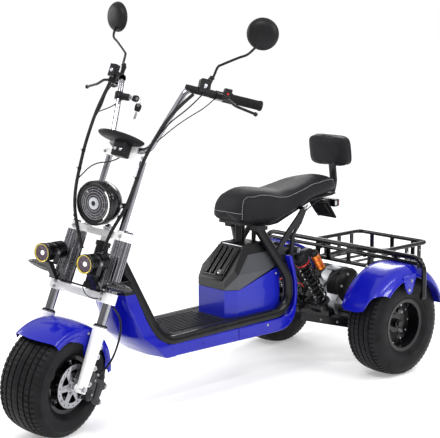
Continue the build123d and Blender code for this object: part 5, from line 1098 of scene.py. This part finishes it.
# ------------------------------------------------------------------ fork, yoke and axle fittings
p = Piece("fork_fittings")
for sg in (1, -1):
    k = Frame3(S(-7, sg * 117.5, 217), US, YS, SS)
    p.lathe(k, [(18.2, 7), (20.6, 6.4), (23.6, 3), (25, 0), (25.2, -3), (23.6, -3.4)], M["rubber"], n=36)
    p.lathe(k, [(24.0, -11), (25.3, -10.4), (25.3, -6.6), (24.0, -6)], M["white"], n=40)
    for s_ in (306, 324):
        p.bolt(S(21, sg * 104, s_ - 1), US, 5.2, M["steel"], h=6)
    p.bolt(S(18, sg * 104, 528), US, 5, M["steel"], h=6)
    k2 = Frame3(S(-7, sg * 117.5, 546), US, YS, SS)
    p.lathe(k2, [(0, 7), (9, 7), (12, 5.6), (15.8, 4), (16.4, 0), (16.4, -4)], M["chrome"], n=36)
    k3 = Frame3(S(-22, sg * 76, 542), US, YS, SS)
    p.lathe(k3, [(12.6, 6), (15, 5.4), (16, 2), (16, 0)], M["white"], n=32)
    p.bolt(S(0, sg * 133.3, 0), YS * sg, 9.6, M["steel"], h=8)
for y in (-34, 34):
    for u in (-36, -8):
        p.screw(S(u, y, 851.6), SS, 4.6, M["steel"])
for y in (-1, 1):
    p.bolt(S(-2, y * 84, 809), US, 4.6, M["steel"], h=5)
for u, s_ in ((-34, 150), (-36, 116)):
    p.bolt(S(u, 124.6, s_), YS, 5, M["steel"], h=4)
p.bolt(S(-40, 0, 551), SS, 15, M["chrome"], h=8)
p.done("steering")

# ------------------------------------------------------------------ handlebar controls
BT, BE = (-49, 146, 1088), (-238, 334, 1113)
BL = math.dist(BT, BE)


def bar(sg, along, lift=0.0):
    t = S(BT[0], sg * BT[1], BT[2]); e = S(BE[0], sg * BE[1], BE[2])
    d = (e - t).normalized()
    q = t + d * (along / 1000) + SS * (lift / 1000)
    return aim(q, d, SS)                     # x up, y across, z outward


p = Piece("grip_covers")
for sg in (1, -1):
    k = bar(sg, BL - 116)
    prof = [(11.2, 2), (17, 2.4), (19.6, 4), (19.6, 9), (17.4, 11)]
    h = 13
    while h < 106:
        prof += [(17, h), (17, h + 2.1), (16, h + 2.5), (16, h + 3.5)]
        h += 4.2
    prof += [(17, 108), (18.6, 110), (18.8, 117), (16, 120.4), (9, 121), (0, 121)]
    rows = []
    for i in range(40):
        a = 2 * math.pi * i / 40
        f = 1.0 if i % 4 else 0.972
        rows.append([k(r * f * math.cos(a), r * f * math.sin(a), hh) for r, hh in prof])
    p.grid(rows, M["rubber"], cu=True)
p.done("steering", ("grips",), sharp=50)

p = Piece("control_details")
for sg in (1, -1):
    k = bar(sg, BL - 116 - 11)
    for a, col, r in ((60, M["red"], 4.6), (-50, M["steel"], 3.6)):
        q = k(19.4 * math.cos(math.radians(a)), 19.4 * math.sin(math.radians(a)), 0)
        p.lathe(aim(q, q - k(0, 0, 0)), [(r, -1), (r, 2.2), (r * 0.8, 3.2), (0, 3.4)], col, n=20)
    k = bar(sg, 114)
    for a in (90, 270):
        p.bolt(k(17.6 * math.cos(math.radians(a)), 17.6 * math.sin(math.radians(a)), 0), k.y * (1 if a == 90 else -1), 3.4, M["steel"], h=3)
    k = bar(sg, 92)
    p.lathe(k, [(11.2, -10), (15, -9.4), (15, 9.4), (11.2, 10)], M["plastic"], n=28)
for sg in (1, -1):
    p.lathe(bar(sg, 46), [(11.2, -54), (13.2, -53.4), (13.6, -50), (13.6, 50), (13.2, 53.4), (11.2, 54)], M["plastic"], n=32)
k = bar(1, 55, 42)
p.block(Frame3(k.o, k.z, k.y, SS), (0, 0, 1.5), (36, 36, 3), M["gloss_black"], 1.2)
for a, b in ((-13, -13), (13, 13)):
    p.screw(k(3, b, a), SS, 2.4, M["steel"])
k = bar(1, 36.4, 19)
p.lathe(aim(k(0, -19.4, 18) if (k(0, -19.4, 18) - S(0, 0, 1100)).dot(US) > (k(0, 19.4, 18) - S(0, 0, 1100)).dot(US) else k(0, 19.4, 18), US), [(8, -1), (8, 1.4), (6.6, 2), (0, 2)], M["lens"], n=24)
p.block(S, (-120, -253, 1151.4), (26, 29, 3), M["gloss_black"], 1)
p.lathe(aim(S(-106.0, -253, 1128), US), [(7, -1), (7, 1), (5.6, 1.6), (0, 1.6)], M["lens"], n=20)
p.done("steering")

# ------------------------------------------------------------------ mirrors
p = Piece("mirror_pair")
rk = math.radians(22.8)
for sg, turn in ((1, 24), (-1, 14)):
    t = math.radians(sg * turn)
    bk = S.d(math.cos(t) * math.cos(rk), math.sin(t), -math.sin(rk) * math.cos(t))
    cen = S(-127, sg * 328, 1338)
    K = aim(cen - bk * 0.012, bk, SS)
    p.lathe(K, [(52.8, -0.6), (54.8, -1.4), (56.5, -0.6), (57, 1.6), (56.3, 5), (54, 10), (50, 15), (43.5, 19.6), (32, 23.2), (16, 24.8), (0, 25.2)], M["plastic"], n=64)
    p.lathe(K, [(53.2, 0.2), (33, -0.5), (13, -0.8), (0, -0.85)], M["glass"], n=64)
    up = (SS - bk * SS.dot(bk)).normalized()
    b0 = cen - up * 0.030
    path = [S(-98, sg * 194, 1104), S(-98, sg * 198, 1132), S(-98.4, sg * 203, 1160), S(-100, sg * 207, 1192), S(-103, sg * 221, 1205), S(-112, sg * 270, 1238), S(-118, sg * 302, 1259)]
    q = [tuple(v) for v in path] + [tuple(b0)]
    p.tube(cr(q, 6), 4.5, M["black"], n=14)
    k = aim(S(-98, sg * 194, 1104), SS, US)
    p.lathe(k, [(0, 0), (10, 0), (10, 12), (8, 14), (8, 30), (9.4, 32), (9.4, 42), (6.6, 45), (5, 52), (4, 53)], M["plastic"], n=28)
    p.bolt(S(-98.2, sg * 200, 1146), S.d(0, 0.17, 1), 7.5, M["black"], h=8)
    p.lathe(aim(b0 + (cen - b0) * 0.2, up), [(0, -10), (6, -9), (8, -4), (8, 4), (6, 8), (0, 9)], M["plastic"], n=20)
p.done("steering", ("mirrors",))

# ------------------------------------------------------------------ dash leaf
nod = math.radians(9)
lo_ = S.d(-math.sin(nod), 0, math.cos(nod))
ll = S.d(-0.21, 0.978, 0)
KD = Frame3(S(24, -12, 858), (ll - lo_ * ll.dot(lo_)), lo_.cross(ll - lo_ * ll.dot(lo_)), lo_)


def leaf(f, h, n=64):
    return [KD(92 * f * math.cos(a), 50 * f * math.copysign(abs(math.sin(a)) ** 1.2, math.sin(a)), h) for a in [2 * math.pi * k / n for k in range(n)]]


p = Piece("dash_leaf")
p.grid([leaf(f, h) for f, h in ((0.86, 5.4), (0.9, 7.4), (0.95, 7.8), (0.985, 6.4), (1.0, 3.6), (0.992, 1.0), (0.95, -3), (0.86, -7.6), (0.74, -11), (0.6, -12.6), (0.3, -13), (0.05, -13))], M["plastic"], cv=True)
p.grid([leaf(f, h) for f, h in ((0.87, 5.4), (0.86, 6.6), (0.6, 7.2), (0.3, 7.5), (0.02, 7.6))], M["screen"], cv=True)
p.prism(Frame3(S(18, 0, 0), US, YS, SS), [(-20, -26), (20, -26), (20, 26), (-20, 26)], 794, 850, M["plastic"], 4, seg=3)
for y in (-12, 12):
    p.screw(S(38, y, 818), US, 6, M["steel"])
    p.lathe(aim(S(38, y, 818), US), [(8, 0), (9.4, 0.8), (10.4, 0)], M["plastic"], n=24)
for f in (0.25, -0.3, 0.7, -0.72):
    p.screw(KD(92 * f, 10 if abs(f) < 0.5 else 0, -12.6 if abs(f) < 0.5 else -8), -lo_, 3, M["steel"])
p.done("steering", ("dash_display",))

# ------------------------------------------------------------------ lock and keys
la = (-22 + (-27) * 0.7312, -84 - 62 * 0.7312, 1020)
rd = S.d(-27, -62, 253)
p = Piece("lock_and_keys")
k = aim(S(*la), rd, US)
p.lathe(k, [(11.4, -13), (15, -13), (16, -11.6), (16, 11.6), (15, 13), (11.4, 13)], M["plastic"], n=32, closed=True)
k = aim(S(la[0], la[1] + 8, la[2]), YS, SS)
p.lathe(k, [(0, 0), (12, 0), (13, 4), (13, 34), (12.4, 36), (11, 36.6), (10.6, 40), (9.6, 45), (0, 45.4)], M["plastic"], n=36)
p.lathe(k, [(9.8, 44), (9.4, 46), (7, 46.4), (0, 46.2)], M["steel"], n=32)


def key(p, o, ex, ey, flip=1):
    """A flat key: bow at o, blade along ex."""
    kk = Frame3(o, ex, ey, Vector(ex).cross(ey))
    bow = [(0, -9), (6, -11.4), (16, -12.4), (24, -11), (28, -6), (28.6, 0), (28, 6), (24, 11), (16, 12.4), (6, 11.4), (0, 9)]
    p.prism(kk, bow, -2.6, 2.6, M["plastic"], 1.4)
    p.lathe(Frame3(kk(22, 0, 0), kk.x, kk.y, kk.z), [(3, -3), (5, -3), (5, 3), (3, 3)], M["steel"], n=20, closed=True)
    p.prism(kk, [(-30, -3.4), (-24, -4), (0, -4), (0, 4), (-12, 4), (-14, 2.6), (-17, 4), (-20, 2.4), (-23, 3.8), (-27, 2.4), (-30, 0)], -1, 1, M["steel"], 0.3)


key(p, S(la[0], la[1] + 62, la[2]), YS, SS)
ring = [S(la[0], la[1] + 92, la[2] - 9) + YS * (0.011 * math.cos(a)) + SS * (0.011 * math.sin(a)) for a in [2 * math.pi * q / 28 for q in range(28)]]
p.tube(ring, 1.1, M["steel"], n=8, closed=True)
key(p, S(la[0] + 1, la[1] + 98, la[2] - 44), S.d(0, -0.08, 1), YS)
key(p, S(la[0] + 6, la[1] + 102, la[2] - 46), S.d(0.1, 0.1, 1), S.d(-0.25, 1, -0.1))
p.done("steering", ("ignition_lock",))

# ------------------------------------------------------------------ looms, leads and hose, all held at both ends
LR = [(-20, -170, 1060), (4, -160, 1006), (22, -156, 938), (28, -154, 868), (30, -152, 800), (30, -146, 735), (30, -138, 665), (30, -120, 600), (28, -94, 548), (22, -66, 500), (14, -40, 456)]
LL = [(-50, 176, 1070), (-14, 158, 1010), (2, 134, 940), (4, 112, 870), (4, 96, 800), (4, 91, 735), (8, 91, 672), (13, 86, 614), (17, 70, 562), (18, 58, 516), (16, 54, 470)]
LDh = [(20, 4, 790), (24, -16, 774), (28, -44, 764), (30, -74, 756), (30, -104, 736), (30, -124, 706), (30, -136, 690), (30, -142, 676)]
BH = [(-37, 124, 291), (-64, 124, 280), (-92, 124, 262), (-114, 124, 232), (-126, 122, 192), (-130, 119, 150), (-128, 114, 110), (-116, 106, 74), (-96, 98, 52)]
lr = wire("loom_right_braid", [S(*q) for q in LR], 6.0, M["braid"], "steering", ("wiring_looms",))
wire("loom_left_braid", [S(*q) for q in LL], 6.0, M["braid"], "steering")
wire("dash_lead", [S(*q) for q in LDh], 2.2, M["cable"], "steering")
wire("brake_hose_line", [S(*q) for q in BH], 3.6, M["cable"], "steering", ("brake_hose",))
wire("switch_lead_left", [S(-86, 196, 1096), S(-60, 190, 1052), S(-30, 176, 1000), S(-4, 150, 950), S(6, 120, 880), S(9, 106, 820)], 2.4, M["cable"], "steering")
wire("switch_lead_left_thin", [S(-120, 226, 1094), S(-96, 214, 1046), S(-50, 188, 990), S(-14, 158, 930), S(2, 124, 872)], 1.9, M["cable"], "steering")
wire("switch_lead_right", [S(-66, -180, 1086), S(-30, -176, 1040), S(0, -158, 1000), S(14, -146, 960), S(24, -150, 920)], 2.4, M["cable"], "steering")
wire("lock_lead", [S(la[0], la[1] + 12, la[2] - 12), S(la[0] + 16, la[1] + 6, la[2] - 40), S(la[0] + 40, la[1] - 12, la[2] - 66), S(12, -152, 940)], 2.0, M["cable"], "steering")
wire("headlight_lead", [S(-34, 0, 650), S(-34, 20, 640), S(-20, 44, 600), S(4, 60, 572), S(14, 62, 550)], 2.2, M["cable"], "steering")
wire("lower_hose_loop", [S(20, 16, 330), S(20, 23, 318), S(20, 40, 306), S(20, 66, 300), S(20, 97, 304), S(20, 106, 314)], 1.6, M["cable"], "steering")
p = Piece("loom_wraps")
for pts, spots in ((LR, (0.42, 0.52, 0.78)), (LL, (0.36, 0.5, 0.72))):
    P = cr([tuple(S(*q)) for q in pts], 12)
    for f in spots:
        i = int(f * (len(P) - 1))
        d = (P[i + 1] - P[i]).normalized()
        k = aim(P[i], d)
        p.lathe(k, [(5.0, -5), (6.8, -4.6), (7.2, -2), (6.4, -1.4), (7.2, -0.8), (7.2, 2), (6.8, 4.6), (5.0, 5)], M["rubber"], n=20)
        q = k(7.4, 0, 0)
        p.tube([q - k.y * 0.003, q + k.x * 0.004, q + k.x * 0.010 + k.y * 0.002], 0.9, M["cable"], n=6)
p.done("steering")

# ------------------------------------------------------------------ finishes of the CAD nodes that stay
keep = {"frame_rails": "black", "steering_head": "black", "frame_crossbars": "black", "footboard": "deck", "battery_housing": "blue", "housing_cover": "cover",
        "battery": "battery", "seat_base": "plastic", "seat_struts": "black", "backrest_bracket": "black", "rear_axle": "black", "rear_subframe": "black",
        "rack_basket": "gloss_black", "rack_hoop": "gloss_black", "rack_stays": "black", "rear_rim_left": "gloss_black", "rear_rim_right": "gloss_black",
        "front_rim": "gloss_black", "front_axle": "steel", "fork_sliders": "white", "fork_tubes": "chrome", "lower_yoke": "white",
        "upper_yoke": "white", "handlebar_posts": "chrome", "cross_clamp": "white", "handlebar": "chrome", "brake_levers": "black", "switch_pods": "plastic",
        "spotlight_bracket": "black"}
soft_edges = {"footboard": 1.2, "battery_housing": 3.0, "housing_cover": 3.2, "seat_struts": 1.2, "rear_subframe": 2.5, "lower_yoke": 2.2, "upper_yoke": 2.4,
              "cross_clamp": 2.0, "spotlight_bracket": 1.0, "switch_pods": 1.4, "backrest_bracket": 2.0, "rack_stays": 1.0, "frame_crossbars": 1.6}
M["cover"] = two_tone("housing_cover_two_tone", frame["nodes"]["housing_cover"], M["grey"], (0.006, 0.006, 0.007), C(-729, 90, 402), C(-880, 90, 545), 0.0, 0.074)
for n, o in frame["nodes"].items():
    if n in keep:
        o.data.materials.clear()
        o.data.materials.append(M[keep[n]])
    elif not o.hide_render:
        print("no finish for", n, flush=True)
    if n in soft_edges:
        md = o.modifiers.new("edge", "BEVEL")
        md.width = soft_edges[n] / 1000
        md.segments = 3
        md.limit_method = "ANGLE"
        md.angle_limit = math.radians(38)
        md.harden_normals = False

# ------------------------------------------------------------------ floor, light, camera
me = bpy.data.meshes.new("floor")
n = 40
vs, fs_ = [], []
for i in range(n + 1):
    for j in range(n + 1):
        vs.append((-80 + 160 * i / n, -80 + 160 * j / n, 0))
for i in range(n):
    for j in range(n):
        a = i * (n + 1) + j
        fs_.append((a, a + n + 1, a + n + 2, a + 1))
me.from_pydata(vs, [], fs_)
floor = bpy.data.objects.new("floor", me)
sc.collection.objects.link(floor)
me.materials.append(mat("pale_floor", (0.84, 0.84, 0.845), rough=0.85, var=0.01, scale=1.2, bump=0.0, spec=0.1, emit=(1, 1, 1), strength=0.3))

w = bpy.data.worlds.new("studio")
sc.world = w
w.use_nodes = True
t = w.node_tree
bg = t.nodes["Background"]
tc = t.nodes.new("ShaderNodeTexCoord")
sp = t.nodes.new("ShaderNodeSeparateXYZ")
ra = t.nodes.new("ShaderNodeValToRGB")
mr = t.nodes.new("ShaderNodeMapRange")
mr.inputs["From Min"].default_value = -1
t.links.new(tc.outputs["Generated"], sp.inputs[0])
t.links.new(sp.outputs["Z"], mr.inputs["Value"])
t.links.new(mr.outputs["Result"], ra.inputs["Fac"])
e = ra.color_ramp.elements
e[0].position, e[0].color = 0.0, (0.8, 0.8, 0.8, 1)
e[1].position, e[1].color = 1.0, (1, 1, 1, 1)
for pos, c in ((0.45, 1.0), (0.525, 1.0), (0.565, 0.36), (0.67, 0.3), (0.76, 0.9), (0.86, 1.1)):
    q = ra.color_ramp.elements.new(pos)
    q.color = (c, c, c * 1.01, 1)
t.links.new(ra.outputs["Color"], bg.inputs["Color"])
bg.inputs["Strength"].default_value = 1.0


def area(name, loc, at_, size, power, sy=None):
    l = bpy.data.lights.new(name, "AREA")
    l.energy = power
    l.shape = "RECTANGLE"
    l.size = size
    l.size_y = sy or size
    o = bpy.data.objects.new(name, l)
    sc.collection.objects.link(o)
    o.location = loc
    d = Vector(at_) - Vector(loc)
    o.rotation_euler = d.to_track_quat("-Z", "Y").to_euler()
    return o


area("key", (2.2, 1.0, 3.4), (0, 0, 0.5), 1.3, 46, 0.5)
area("side", (-0.6, 3.6, 2.2), (-0.2, 0, 0.4), 1.3, 34, 0.4)
area("back", (-3.2, -2.0, 2.6), (-0.2, 0, 0.6), 2.0, 55, 1.2)
area("right", (1.6, -3.0, 2.0), (0.2, 0, 0.6), 1.8, 40, 1.2)
area("strip", (-0.5, 1.9, 2.3), (-0.5, 0.1, 0.3), 1.5, 16, 0.12)


def camera():
    d = math.radians
    yaw, pitch, roll = d(-131.97), d(-9.64), d(-0.3)
    f = Vector((math.cos(pitch) * math.cos(yaw), math.cos(pitch) * math.sin(yaw), math.sin(pitch)))
    r = f.cross(Vector((0, 0, 1))).normalized()
    u = r.cross(f).normalized()
    r2 = r * math.cos(roll) + u * math.sin(roll)
    u2 = -r * math.sin(roll) + u * math.cos(roll)
    cam = bpy.data.cameras.new("photo_camera")
    ob = bpy.data.objects.new("photo_camera", cam)
    sc.collection.objects.link(ob)
    ob.matrix_world = Matrix(((r2.x, u2.x, -f.x, FX + 2.1068), (r2.y, u2.y, -f.y, 3.2024), (r2.z, u2.z, -f.z, 1.3856), (0, 0, 0, 1)))
    cam.sensor_width = 36
    cam.lens = 94.51
    sc.camera = ob


camera()
sc.view_settings.view_transform = "Standard"
